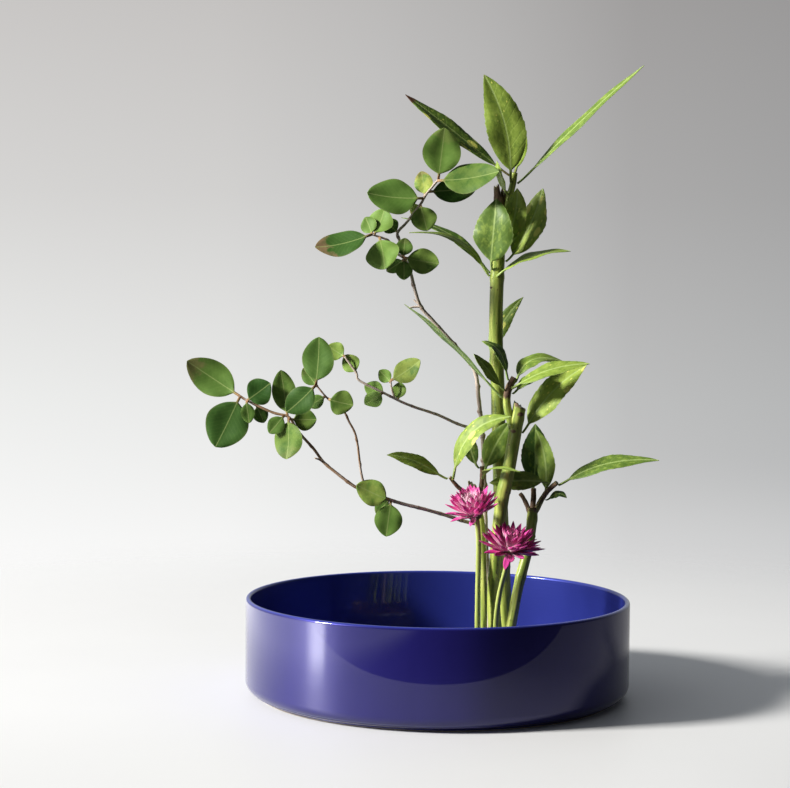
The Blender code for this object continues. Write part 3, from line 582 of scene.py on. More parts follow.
def needle_brass():
    """Brass that tarnishes low down and stays bright at the tips."""
    finish = Finish("needle_brass")
    place = finish.place()
    stain = finish.cloud(place, 220, 4)
    bright = place.part("Z").ramp(18 * MM, 27 * MM)
    brass = finish.blend(bright, (0.42, 0.27, 0.09), (0.83, 0.62, 0.27))
    finish.set(
        base_color=finish.blend(stain.ramp(0.5, 0.75) * 0.6, brass, (0.16, 0.12, 0.06)),
        metallic=1.0 - stain.ramp(0.62, 0.8) * 0.5,
        roughness=0.48 - bright * 0.24,
    )
    finish.relief(finish.cloud(place, 1500, 2), 0.2, 0.0002)
    return finish.material


def lead_alloy():
    """Dull cast metal with a pale bloom."""
    finish = Finish("lead_alloy")
    place = finish.place()
    bloom = finish.cloud(place, 130, 5).ramp(0.42, 0.7)
    finish.set(
        base_color=finish.blend(bloom, (0.28, 0.285, 0.3), (0.5, 0.51, 0.52)),
        metallic=0.95 - bloom * 0.4,
        roughness=0.42 + bloom * 0.25,
    )
    finish.relief(finish.cloud(place, 420, 4), 0.35, 0.0004)
    return finish.material


def black_rubber():
    """Matte black rubber with a fine moulded grain."""
    finish = Finish("black_rubber")
    place = finish.place()
    dust = finish.cloud(place, 180, 4)
    cover = dust.ramp(0.45, 0.8) * 0.6
    finish.set(
        base_color=finish.blend(cover, (0.018, 0.018, 0.019), (0.07, 0.07, 0.068)),
        roughness=0.7 + dust * 0.2,
    )
    finish.relief(finish.cloud(place, 2600, 2), 0.3, 0.0002)
    return finish.material


def dress(node, material):
    """Give a solid a better material."""
    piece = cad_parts[node]
    piece.data.materials.clear()
    piece.data.materials.append(material)


dress("holder_needles", needle_brass())
dress("holder_weight", lead_alloy())
dress("holder_rubber_ring", black_rubber())
print("holder dressed")

# %% [markdown]
# ## Stems as routes
#
# A stem is a line with a thickness. The solids follow a few points with
# straight stretches between them. Here the same points carry a Catmull-Rom
# line, which passes through every one of them and bends smoothly between, as a
# grown stem does. Everything that grows on a stem asks its route for a seat.

# %% Routes
NEEDLE_PITCH = 4.4 * MM
FOOT_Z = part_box("tall_stem")[0].z
SKIN_GAP = 0.3 * MM
STALK_GAP = 0.4 * MM
ROUTE_STEP = 1.2 * MM


def mixed(pair, share):
    """A number at a share of the way between two."""
    return pair[0] + (pair[1] - pair[0]) * share


def foot_on_needles(column, row):
    """Foot of a stem, in steps of the needle grid."""
    return HOLDER + Vector((column * NEEDLE_PITCH, row * NEEDLE_PITCH, FOOT_Z))


def between(before, here, there, after, share):
    """Catmull-Rom point on the stretch from here to there."""
    a = there - before
    b = before * 2 - here * 5 + there * 4 - after
    c = here * 3 - before - there * 3 + after
    return (here * 2 + a * share + b * share ** 2 + c * share ** 3) / 2


class Route:
    """Smooth centre line of a stem: its points and its two radii are given in mm."""

    def __init__(self, foot, points, radii):
        corners = [foot + Vector(point) * MM for point in points]
        padded = [corners[0] * 2 - corners[1], *corners, corners[-1] * 2 - corners[-2]]
        self.foot, self.places, self.radii, self.marks = foot, [], [], []
        last = len(corners) - 1
        for low in range(last):
            stretch = (corners[low + 1] - corners[low]).length
            steps = max(2, round(stretch / ROUTE_STEP))
            for step in range(steps + (low == last - 1)):
                mark = low + step / steps
                self.places.append(between(*padded[low:low + 4], step / steps))
                self.radii.append(mixed(radii, mark / last) * MM)
                self.marks.append(mark)

    def at_mark(self, mark):
        """Place at a point counted along the route, such as 3.5."""
        index = min(range(len(self.marks)), key=lambda i: abs(self.marks[i] - mark))
        return self.places[index]

    def at_height(self, height):
        """Index of the first point that reaches a height above the foot."""
        wanted = self.foot.z + height * MM
        for index, place in enumerate(self.places):
            if place.z >= wanted:
                return index
        return len(self.places) - 1

    def way(self, index):
        """Direction of the line at one of its points."""
        low, high = max(index - 1, 0), min(index + 1, len(self.places) - 1)
        return (self.places[high] - self.places[low]).normalized()

    def last_way(self):
        """Direction of the line at its tip."""
        return self.way(len(self.places) - 1)

    def seat(self, height, side):
        """Place just off the skin, on a side given in degrees, and the way out."""
        index = self.at_height(height)
        along = self.way(index)
        out = Vector((math.cos(math.radians(side)), math.sin(math.radians(side)), 0))
        out = (out - along * out.dot(along)).normalized()
        return self.places[index] + out * (self.radii[index] + SKIN_GAP + STALK_GAP), out


print("feet stand", round(FOOT_Z / MM, 1), "mm above the table")

# %% [markdown]
# ## The skin of a stem
#
# A ring of points goes round the route at each step, and the rings are joined
# by faces. The frame that places a ring is carried along from the one before,
# so that the skin doesn't twist. Where leaves once sat, the bark swells a
# little and keeps a brown scar. The mesh stores, at each point, where it lies
# on the skin and how much of a scar it is, and the finish reads that later.

# %% Rings round a route
SKIN_LAYERS = ("skin_place", "skin_marks")
CUT_RIM = 0.95


def point_layers(bm, names):
    """Stores of three numbers at each point of a mesh, made when they are first asked for."""
    stores = bm.verts.layers.float_vector
    return [stores.get(name) or stores.new(name) for name in names]


def bulge(distance, width):
    """1 at nothing and falling off smoothly with distance."""
    return math.exp(-(distance / width) ** 2)


def skin_ring(bm, route, index, side_way, sides, travelled, looks):
    """One ring of points; its marks are (scar, cut wood, nothing)."""
    skin_place, skin_marks = point_layers(bm, SKIN_LAYERS)
    centre, radius, along = route.places[index], route.radii[index], route.way(index)
    side_way = (side_way - along * side_way.dot(along)).normalized()
    other = along.cross(side_way)
    ring = []
    for step in range(sides):
        turn = 2 * math.pi * step / sides
        out = side_way * math.cos(turn) + other * math.sin(turn)
        grown, scar = looks(out, travelled, radius)
        vert = bm.verts.new(centre + out * (radius + grown))
        vert[skin_place] = (out.x * radius / MM, out.y * radius / MM, travelled / MM)
        vert[skin_marks] = (scar, 0, 0)
        ring.append(vert)
    return ring, side_way


def join_rings(bm, rings):
    """Faces between each ring and the next."""
    sides = len(rings[0])
    for low, high in zip(rings, rings[1:]):
        for i in range(sides):
            j = (i + 1) % sides
            bm.faces.new((low[i], low[j], high[j], high[i]))


def skin(bm, route, sides, looks):
    """Lay rings along a route, join them, and close the foot."""
    rings, side_way, travelled = [], Vector((1, 0, 0)), 0
    for index, place in enumerate(route.places):
        if index:
            travelled += (place - route.places[index - 1]).length
        ring, side_way = skin_ring(bm, route, index, side_way, sides, travelled, looks)
        rings.append(ring)
    join_rings(bm, rings)
    cut_end(bm, rings[0], -route.way(0), 3)
    return rings


def cut_end(bm, ring, way, circles, dish=0.0):
    """Close a ring with circles of cut wood that run in to a middle point."""
    skin_place, skin_marks = point_layers(bm, SKIN_LAYERS)
    middle = sum((vert.co for vert in ring), Vector()) / len(ring)
    outer = ring
    for step in range(1, circles + 1):
        share = 1 - step / (circles + 1)
        inner = []
        for vert in ring:
            made = bm.verts.new(middle + (vert.co - middle) * share - way * dish * (1 - share))
            made[skin_place] = vert[skin_place] * share
            made[skin_marks] = (0, share if step > 1 else CUT_RIM, 0)
            inner.append(made)
        bridge(bm, outer, inner, way)
        outer = inner
    centre = bm.verts.new(middle - way * dish)
    centre[skin_marks] = (0, 0.01, 0)
    for i in range(len(ring)):
        face_towards(bm, (outer[i], outer[(i + 1) % len(ring)], centre), way)


def bridge(bm, outer, inner, way):
    """Join two rings of as many points with faces that look one way."""
    for i in range(len(outer)):
        j = (i + 1) % len(outer)
        face_towards(bm, (outer[i], outer[j], inner[j], inner[i]), way)


def face_towards(bm, verts, way):
    """Add a face and turn it to look one way."""
    face = bm.faces.new(verts)
    face.normal_update()
    if face.normal.dot(way) < 0:
        face.normal_flip()


def finished_mesh(bm, name, sharp=180):
    """Turn a bmesh into a mesh that is shaded smoothly, but for edges over an angle."""
    mesh = bpy.data.meshes.new(name)
    bm.to_mesh(mesh)
    bm.free()
    mesh.shade_smooth()
    mesh.set_sharp_from_angle(angle=math.radians(sharp))
    return mesh


def mesh_piece(bm, name, look, body, node, sharp=180):
    """Turn a bmesh into a piece in one material."""
    mesh = finished_mesh(bm, name, sharp)
    mesh.materials.append(look)
    new_piece(name, mesh, body, node)


print("rings ready")

# %% [markdown]
# Shears cut a branch on the slant. The rings above the cut are pushed down onto
# a sloping plane along the stem, and the opening is closed with circles of pale
# wood under a brown rim. A torn top is the same thing with a jagged plane.

# %% Slanted and torn tops
NODE_SWELL = 0.09
NODE_LENGTH = 2.6 * MM
SCAR_HEIGHT = 0.55 * MM
CORK_HEIGHT = 0.35 * MM
CORK_START = 5


def slant(rings, route, lean, drop, tear, seed):
    """Push the rings above a sloping plane down onto it."""
    random.seed(seed)
    way = Vector(lean).normalized()
    top = route.places[-1] - Vector((0, 0, drop * MM))
    along = route.last_way()
    teeth = [random.uniform(-1, 1) * tear * MM for _ in rings[0]]
    for ring in rings:
        for vert, tooth in zip(ring, teeth):
            above = (vert.co - top).dot(way) / along.dot(way) - tooth
            if above > 0:
                vert.co -= along * above


def laurel_looks(seed, scars=(), nodes=(), rough=0.12, cork=math.inf):
    """Bark that waves a little, swells at its nodes, keeps scars, and is corky above a height."""
    def looks(out, travelled, radius):
        wave = noise.noise(Vector((out.x * 1.5, out.y * 1.5, travelled * 45 + seed * 7)))
        grown = wave * rough * MM * 2
        for node in nodes:
            grown += NODE_SWELL * radius * bulge(travelled - node * MM, NODE_LENGTH)
        scar = 0.0
        for height, side, size in scars:
            turn = math.atan2(out.y, out.x) - math.radians(side)
            turn = (turn + math.pi) % (2 * math.pi) - math.pi
            away = math.hypot(turn * radius, (travelled - height * MM) * 1.4)
            scar = max(scar, bulge(away, size * MM))
        grown += scar * SCAR_HEIGHT
        if travelled > cork * MM:
            share = min((travelled / MM - cork) / CORK_START, 1)
            scar = max(scar, share * (0.75 + 0.5 * wave))
            crumbs = noise.noise(Vector((out.x * 4, out.y * 4, travelled * 300)))
            grown += share * crumbs * CORK_HEIGHT
        return grown, scar
    return looks


print("tops are cut on the slant")

# %% [markdown]
# ## Holes that the needles make
#
# The needles run up into the thick stems. A Boolean modifier takes the needles,
# a little wider than they are, out of the foot, and it is applied at once so
# that the piece keeps a plain mesh.

# %% Pierced feet
NEEDLE_WIDTH = 1.2 * MM
NEEDLE_PLAY = 0.15 * MM
NEEDLE_LENGTH = 11 * MM
NEEDLE_POINT = 2.5 * MM
NEEDLE_ROOM = 1.3 * MM
NEEDLE_BED_TOP = FOOT_Z - 3.5 * MM
NEEDLES_OUT = 8


def needle_cutter(centre, radius):
    """All the needles inside a circle, a little wider than they are, as one mesh."""
    bm = bmesh.new()
    for column in range(-NEEDLES_OUT, NEEDLES_OUT + 1):
        for row in range(-NEEDLES_OUT, NEEDLES_OUT + 1):
            place = foot_on_needles(column, row)
            place.z = NEEDLE_BED_TOP
            if (place - centre).xy.length + NEEDLE_WIDTH < radius:
                add_needle(bm, place)
    return bm


def add_needle(bm, place):
    """One square needle with a point, from just under the bed."""
    half = NEEDLE_WIDTH / 2 + NEEDLE_PLAY
    shaft = NEEDLE_LENGTH - NEEDLE_POINT + NEEDLE_ROOM
    verts = [
        bm.verts.new(place + Vector((x * half, y * half, z)))
        for z in (-1.0 * MM, shaft) for x, y in ((-1, -1), (1, -1), (1, 1), (-1, 1))
    ]
    tip = bm.verts.new(place + Vector((0, 0, shaft + NEEDLE_POINT)))
    bm.faces.new(verts[3::-1])
    for i in range(4):
        j = (i + 1) % 4
        bm.faces.new((verts[i], verts[j], verts[4 + j], verts[4 + i]))
        bm.faces.new((verts[4 + i], verts[4 + j], tip))


def pierce(piece, foot, radius):
    """Cut the needle holes into the foot of a stem, if any needle fits in it."""
    bm = needle_cutter(foot, radius)
    if not bm.verts:
        bm.free()
        return
    cutter = bpy.data.objects.new("needle_cutter", finished_mesh(bm, "needle_cutter"))
    bpy.context.scene.collection.objects.link(cutter)
    holes = piece.modifiers.new("holes", "BOOLEAN")
    holes.operation = "DIFFERENCE"
    holes.object = cutter
    holes.solver = "EXACT"
    shape = piece.evaluated_get(bpy.context.evaluated_depsgraph_get())
    mesh = bpy.data.meshes.new_from_object(shape)
    piece.modifiers.clear()
    piece.data = mesh
    bpy.data.objects.remove(cutter)


print("needle bed at", round(NEEDLE_BED_TOP / MM, 1), "mm")

# %% [markdown]
# ## Green bark
#
# Laurel stems stay green for years. The skin is smooth and waxy, streaked along
# its length, a little yellow, and dotted with small brown pores. The finish
# reads the place on the skin that the mesh stores, so that streaks follow each
# bend. Scars and the corky ends of cut branches are brown.

# %% Finish of the laurel stems
def green_bark(name, dark, light):
    """Waxy green bark with pores; scars and corky ends are brown."""
    finish = Finish(name)
    skin_place = finish.stored("skin_place")
    marks = finish.stored("skin_marks")
    streaks = finish.cloud(finish.stretched(skin_place, (0.55, 0.55, 0.035)), 1, 4)
    mottle = finish.cloud(finish.stretched(skin_place, (0.25, 0.25, 0.12)), 1, 5)
    green = finish.blend(streaks.ramp(0.3, 0.72), dark, light)
    green = finish.blend(mottle.ramp(0.55, 0.85) * 0.5, green, (0.42, 0.5, 0.12))
    pore_place = finish.stretched(skin_place, (0.5, 0.5, 0.22))
    pores = finish.node("ShaderNodeTexVoronoi", {}, {"Vector": pore_place, "Scale": 1.0})
    pore = 1 - pores.ramp(0.1, 0.18)
    brown = finish.blend(mottle.ramp(0.3, 0.7), (0.06, 0.03, 0.015), (0.26, 0.16, 0.09))
    cover = (marks.part("X") + (mottle - 0.5) * 0.3).ramp(0.35, 0.7)
    bark = finish.blend(pore * 0.7, finish.blend(cover, green, brown), (0.1, 0.055, 0.025))
    cut = marks.part("Y")
    wood = finish.blend(cut.ramp(0.55, 0.9), (0.55, 0.5, 0.3), (0.2, 0.13, 0.06))
    finish.set(
        base_color=finish.blend(cut > 0.001, bark, wood),
        roughness=0.32 + streaks * 0.12 + cover * 0.35,
        specular_ior_level=0.45,
    )
    finish.relief(streaks * 0.5 + pore * 0.6 + cover * mottle * 2, 0.35, 0.0006)
    return finish.material


laurel_bark = green_bark("laurel_bark", (0.2, 0.3, 0.04), (0.56, 0.62, 0.14))
print("bark ready")

# %% [markdown]
# ## A leaf
#
# A leaf is a blade folded along its midrib. Its centre line starts at the seat
# on the stem, bows on its way, and the blade widens and narrows along it. Two
# grids of points are laid over it, one above and one below, and stitched at the
# margin, so that the leaf is a closed thin sheet with a thick midrib under it.
# The margin gets teeth and gentle waves. A leaf could also be a flat plane with
# a picture of a leaf on it, but it would be thin air from the side.

# %% Measures of a leaf
STALK_SHARE = 0.12
STALK_WIDTH = 1.8 * MM
STALK_SPREAD = 2.5 * MM
STALK_THICK = 1.5 * MM
FOLD = math.radians(10)
TEETH_FROM, TEETH_TO = 0.36, 0.95
TOOTH = 0.06
EDGE_CURL = 0.12
WAVE_HEIGHT = 0.09
RIB_WIDTH = 0.55 * MM
LEAF_EDGE = 50
LEAF_LAYERS = ("leaf_share", "leaf_mm", "leaf_traits")


def smoothly(low, high, value):
    """0 below low, 1 above high, and a smooth rise between."""
    share = min(max((value - low) / (high - low), 0), 1)
    return share * share * (3 - 2 * share)


class LeafKind:
    """What all the leaves of a plant share: thickness, rib and tip are in mm."""

    def __init__(self, rows, columns, thickness, rib, tip, fullness, widest, teeth, waves):
        self.rows = rows
        self.columns = columns
        self.thickness = thickness * MM
        self.rib = rib * MM
        self.fullness = fullness
        self.widest = widest
        self.teeth = teeth
        self.waves = waves
        self.tip = tip * MM

    def half_width(self, share, width):
        """Half the width at a share of the length: stalk, blade, pointed tip."""
        stalk = STALK_WIDTH / 2 * min(1, width / (9 * MM))
        if share <= STALK_SHARE:
            return stalk
        place = (share - STALK_SHARE) / (1 - STALK_SHARE)
        blade = width / 2 * max(math.sin(math.pi * place ** self.widest), 0) ** self.fullness
        floor = stalk + (self.tip - stalk) * place
        return max(blade, floor)

    def tooth(self, share):
        """How far the margin stands out in a tooth that points to the tip."""
        if not self.teeth or not TEETH_FROM < share < TEETH_TO:
            return 0
        return TOOTH * ((share - TEETH_FROM) / (TEETH_TO - TEETH_FROM) * self.teeth % 1)


laurel_kind = LeafKind(
    rows=60, columns=14, thickness=0.42, rib=0.75, tip=0.25,
    fullness=0.8, widest=0.8, teeth=7, waves=2.2,
)
print("a laurel blade has", laurel_kind.rows * laurel_kind.columns * 2, "faces")

# %% Lay the two grids of a leaf
class Sheet:
    """The upper and the lower side of a leaf or a petal, as two grids of points."""

    def __init__(self, bm, names):
        self.bm = bm
        self.layers = point_layers(bm, names)
        self.top, self.under = [], []

    def new_row(self):
        """Begin a row across the sheet, in both grids."""
        self.top.append([])
        self.under.append([])

    def add(self, place, push, across, share, *others):
        """A point on each side of a place; push leads to the upper one."""
        for side, grid in ((1, self.top), (0, self.under)):
            vert = self.bm.verts.new(place + push * (1 if side else -1))
            for layer, values in zip(self.layers, ((across, share, side), *others)):
                vert[layer] = values
            grid[-1].append(vert)


def leaf_frame(share, base, out, reach, bend, upper):
    """Centre, direction across, and normal of the blade at a share of its length."""
    opened = min(share / STALK_SHARE, 1)
    spread = STALK_SPREAD * (1 - share) * share / (share + 0.08)
    centre = base + reach * share + bend * (4 * share * (1 - share)) + out * spread
    along = (reach + bend * (4 - 8 * share)).normalized()
    clasp = out if out.dot(upper) >= 0 else -out
    facing = clasp.lerp(upper, opened)
    normal = (facing - along * facing.dot(along)).normalized()
    return centre, along.cross(normal), normal, opened


def grow_leaf(bm, kind, base, out, reach, bend, width, face, traits, seed):
    """Add one leaf: lengths in metres, traits are three numbers for the finish."""
    upper = Vector(face).normalized()
    sheet = Sheet(bm, LEAF_LAYERS)
    for row in range(kind.rows + 1):
        share = row / kind.rows
        centre, across, normal, opened = leaf_frame(share, base, out, reach, bend, upper)
        half = kind.half_width(share, width)
        sheet.new_row()
        for column in range(kind.columns + 1):
            x = 2 * column / kind.columns - 1
            x = math.copysign(abs(x) ** 1.15, x)
            lift, thick = blade_lift(kind, share, x, half, opened, seed)
            reachout = half * (1 + kind.tooth(share) * abs(x) ** 5)
            fold = FOLD * opened
            place = centre + across * (x * reachout * math.cos(fold)) + normal * lift
            in_mm = (x * half / MM, share * reach.length / MM, seed)
            sheet.add(place, normal * (thick / 2), abs(x), share, in_mm, traits)
    stitch(bm, sheet.top, sheet.under)


def blade_lift(kind, share, x, half, opened, seed):
    """Height of the blade over its centre line, and how thick it is there."""
    valley = math.sqrt(x * x + 0.012) - 0.11
    lift = half * math.sin(FOLD * opened) * valley * 1.1
    lift -= half * EDGE_CURL * opened * abs(x) ** 4
    wave = math.sin(2 * math.pi * (share * kind.waves + seed * 0.37) + (1.3 if x > 0 else 0))
    lift += half * WAVE_HEIGHT * wave * x * x * smoothly(0.15, 0.4, share)
    near_rib = bulge(x * half, RIB_WIDTH)
    thick = kind.thickness * (1 - 0.55 * abs(x) ** 6)
    thick += kind.rib * near_rib * (1 - share) ** 0.8
    stalk = STALK_THICK * math.sqrt(max(1 - x * x, 0.04)) * min(1, half / (0.9 * MM))
    return lift, stalk + (thick - stalk) * smoothly(STALK_SHARE * 0.7, STALK_SHARE * 1.6, share)


def stitch(bm, top, under):
    """Join the two grids into one closed sheet."""
    last = len(top[0]) - 1
    for low, high in zip(top, top[1:]):
        for i in range(last):
            bm.faces.new((low[i], low[i + 1], high[i + 1], high[i]))
    for low, high in zip(under, under[1:]):
        for i in range(last):
            bm.faces.new((low[i], high[i], high[i + 1], low[i + 1]))
    for row in range(len(top) - 1):
        bm.faces.new((top[row][0], top[row + 1][0], under[row + 1][0], under[row][0]))
        bm.faces.new((under[row][-1], under[row + 1][-1], top[row + 1][-1], top[row][-1]))
    for i in range(last):
        bm.faces.new((under[0][i], under[0][i + 1], top[0][i + 1], top[0][i]))
        bm.faces.new((top[-1][i], top[-1][i + 1], under[-1][i + 1], under[-1][i]))


print("a leaf is two grids and a seam")

# %% [markdown]
# ## The green of a laurel leaf
#
# A spotted laurel leaf is a deep green with a thin pale margin, a pale midrib,
# side veins that leave it at a slant, and yellow freckles of all sizes. The
# upper side is waxy, the underside paler and dull. The mesh tells the finish how
# far from the midrib a point is, so the veins come from sums: a vein lies where
# the distance along the leaf, less the distance across it, meets a full step.

# %% Finish of the laurel leaves
def slanted_veins(across, along, wander, step, slant_share):
    """1 on a side vein and 0 between them."""
    line = (along - abs(across) * slant_share + wander) / step
    return 1 - abs(line % 1 - 0.5).ramp(0.0, 0.13)


def freckles(finish, at, scale, size, amount):
    """Spots in some cells of a Voronoi pattern, of changing size."""
    inputs = {"Vector": at, "Scale": scale}
    far = finish.node("ShaderNodeTexVoronoi", {}, inputs, "Distance")
    odds = finish.node("ShaderNodeTexVoronoi", {}, inputs, "Color").part("X")
    wide = (amount - odds).ramp(0, 0.35) * size
    return 1 - (far - wide).ramp(-0.05, 0.04)


def laurel_leaf_finish():
    """Waxy spotted leaf, paler below."""
    finish = Finish("laurel_leaf")
    across, along, seed = finish.stored("leaf_mm").parts()
    edge, reach, upper = finish.stored("leaf_share").parts()
    tone, spots, brown = finish.stored("leaf_traits").parts()
    at = finish.joined(across, along * 0.6, seed * 9.0)
    drift = finish.cloud(at, 0.09, 4)
    veins = slanted_veins(across, along, drift * 5, 7.5, 0.95)
    rib = 1 - abs(across).ramp(0.25, 0.85)
    dark = finish.blend(drift, (0.03, 0.085, 0.012), (0.08, 0.17, 0.024))
    light = finish.blend(drift, (0.24, 0.36, 0.04), (0.42, 0.55, 0.08))
    # Painted light: each leaf's tone is pale for a leaf in the light and dark for one in the
    # shade of others.
    green = finish.blend(tone, dark, light)
    mottle = finish.cloud(at, 0.4, 4)
    green = finish.blend(mottle.ramp(0.5, 0.68) * 0.4, green, (0.42, 0.55, 0.1))
    green = finish.blend(mottle.ramp(0.5, 0.3) * 0.4, green, dark)
    yellow = finish.blend(drift, (0.68, 0.7, 0.1), (0.82, 0.8, 0.22))
    big = freckles(finish, at, 0.13, 0.34, spots * 0.42)
    small = freckles(finish, at, 0.5, 0.3, spots * 0.42)
    fleck = big.at_least(small * 0.75)
    green = finish.blend(fleck, green, yellow)
    pale = veins * 0.09 * (1 - edge * 0.6) + rib * 0.6 + edge.ramp(0.93, 1) * 0.35
    green = finish.blend(pale, green, (0.46, 0.6, 0.2))
    under = finish.blend(0.45 + tone * 0.2, green, (0.38, 0.55, 0.17))
    green = finish.blend(upper.ramp(0.4, 0.6), under, green)
    torn = ((reach - 0.9) * 12 + drift * 1.4 + brown - 1.6).ramp(0, 0.5) * brown
    stalk = (1 - reach.ramp(0.02, 0.15)) * brown.ramp(0.05, 0.5)
    green = finish.blend(torn.at_least(stalk * 0.8), green, (0.13, 0.06, 0.03))
    finish.set(
        base_color=green,
        roughness=0.55 - upper * 0.11 + drift * 0.15,
        specular_ior_level=0.28,
        coat_weight=upper * 0.1 * drift.ramp(0.35, 0.6),
        coat_roughness=0.28,
    )
    skin_grain = finish.cloud(at, 0.45, 3)
    finish.relief(skin_grain * 0.7 - veins * 0.3 - rib * 0.4 + fleck * 0.15, 0.3, 0.0005)
    return finish.material


laurel_leaf_look = laurel_leaf_finish()
print("laurel leaf finish:", len(laurel_leaf_look.node_tree.nodes), "nodes")

# %% [markdown]
# ## The tall branch
#
# Each line of a table is a leaf: its name, its seat on the stem, as a height in
# mm and a side in degrees, how far it reaches, how it bows, its width, the way
# that its upper side faces, and last its tone, its freckles and how brown its
# tip is. Leaves in the light are pale, and those in the shade of others dark.

# %% Build a branch from its table
FRONT = (0, -1, 0.15)
STEM_SIDES = 28
SHOOT_SIDES = 16
CUT_DISH = 0.4 * MM


def laurel_leaves(branch, route, rows):
    """One piece for each laurel leaf, in the place of its solid."""
    for number, (name, height, side, reach, bend, width, face, traits) in enumerate(rows, 1):
        bm = bmesh.new()
        base, out = route.seat(height, side)
        seed = (number * 1.7 + height * 0.13) % 5
        grow_leaf(bm, laurel_kind, base, out, Vector(reach) * MM, Vector(bend) * MM,
                  width * MM, face, traits, seed)
        node = f"{branch}_leaf_{name}"
        mesh_piece(bm, node + "_blade", laurel_leaf_look, branch + "_branch", node,
                   LEAF_EDGE)
    print(branch, "branch:", len(rows), "leaves")


def laurel_stem(branch, route, shoots, looks, top=None, shoot_cork=math.inf):
    """A laurel stem with its side shoots, its cut top and its pierced foot."""
    body, node = branch + "_branch", branch + "_stem"
    bm = bmesh.new()
    rings = skin(bm, route, STEM_SIDES, looks)
    if top:
        slant(rings, route, *top)
    cut_end(bm, rings[-1], route.last_way(), 5, CUT_DISH)
    name = node + "_skin"
    piece = new_piece(name, finished_mesh(bm, name), body, node)
    pierce(piece, route.foot, route.radii[0])
    piece.data.materials.append(laurel_bark)
    for number, shoot in enumerate(shoots, 1):
        bm = bmesh.new()
        looks = laurel_looks(number + 4, rough=0.1, cork=shoot_cork)
        rings = skin(bm, shoot, SHOOT_SIDES, looks)
        cut_end(bm, rings[-1], shoot.last_way(), 2)
        mesh_piece(bm, f"{node}_shoot_{number}", laurel_bark, body, node)


# %% Tall branch
tall_foot = foot_on_needles(0.5, 1.5)
tall_route = Route(
    tall_foot,
    [(0, 0, 0), (0, 0, 13), (-3, 0, 40), (-5, 0, 82), (-7, -1, 123), (-9, -2, 178),
     (-11, -4, 233), (-10, -6, 280), (-9, -6, 312), (-9, -6, 325)],
    (4.9, 4.6),
)
tall_shoot = Route(
    tall_foot, [(-9, -6, 292), (-5, -8, 306), (-3, -11, 316), (-1, -13, 324), (0, -14, 332)],
    (2.6, 2.2),
)
laurel_stem(
    "tall", tall_route, [tall_shoot],
    laurel_looks(1, scars=[(255, 215, 1.8), (210, 250, 0.9), (192, 205, 0.8), (150, 300, 0.9),
                           (236, 20, 0.9)],
                 nodes=(64, 142, 205, 262), cork=300),
    ((0.7, 0.1, 1), 5, 5, 5),
)
laurel_leaves("tall", tall_shoot, [
    ("crown_left", 329, 185, (-71, 8, 55), (0, 0, 1), 15, (0.3, -0.7, 0.6), (0.2, 1.2, 1)),
    ("crown_upright", 325, 240, (-19, -2, 72), (6, -3, 0), 26, FRONT, (0.65, 0.55, 0.3)),
    ("crown_back", 331, 80, (7, 9, 30), (0, 1, 0), 9, (-0.3, -1, 0), (0.85, 0.3, 0.3)),
    ("crown_right", 325, 345, (83, -10, 78), (-2, 0, 1), 11, (-0.6, -0.5, 0.62),
     (0.35, 0.25, 0.05)),
    ("shoot_left", 317, 245, (-8, -9, 22), (-1, -1, 0), 9, (-0.9, -0.6, 0.2), (1, 0.5, 0.2)),
])
laurel_leaves("tall", tall_route, [
    ("front", 266, 225, (2, -10, 47), (0, -7, 0), 28, (-0.4, -1, 0.15), (0.18, 0.3, 0.05)),
    ("sheath", 280, 290, (10, -5, 40), (3, -1, 0), 17, (-0.3, -1, 0.1), (1, 1.1, 0)),
    ("right", 272, 350, (25, 4, 50), (2, 0, -2), 25, (-0.6, -0.8, 0.3), (1, 1.1, 0)),
    ("right_level", 262, 265, (49, -10, 17), (-2, 0, 5), 15, (-0.1, -0.35, 0.95), (0.8, 0.6, 0)),
    ("left_dark", 264, 160, (-61, 14, 38), (6, 2, 6), 9, (-0.4, -0.3, 0.85), (0.05, 0.2, 0)),
    ("left_light", 262, 190, (-55, -2, 29), (7, 0, 9), 9, (-0.4, -0.3, 0.85), (0.75, 0.4, 0)),
    ("behind", 204, 120, (21, 10, 44), (-5, 3, 0), 12, (-0.5, -1, 0), (0.3, 0.9, 0)),
])

# %% [markdown]
# ## The three shorter laurel branches
#
# The second branch is cut off short above a side shoot. The two low branches
# fork into thin shoots just under their leaves.

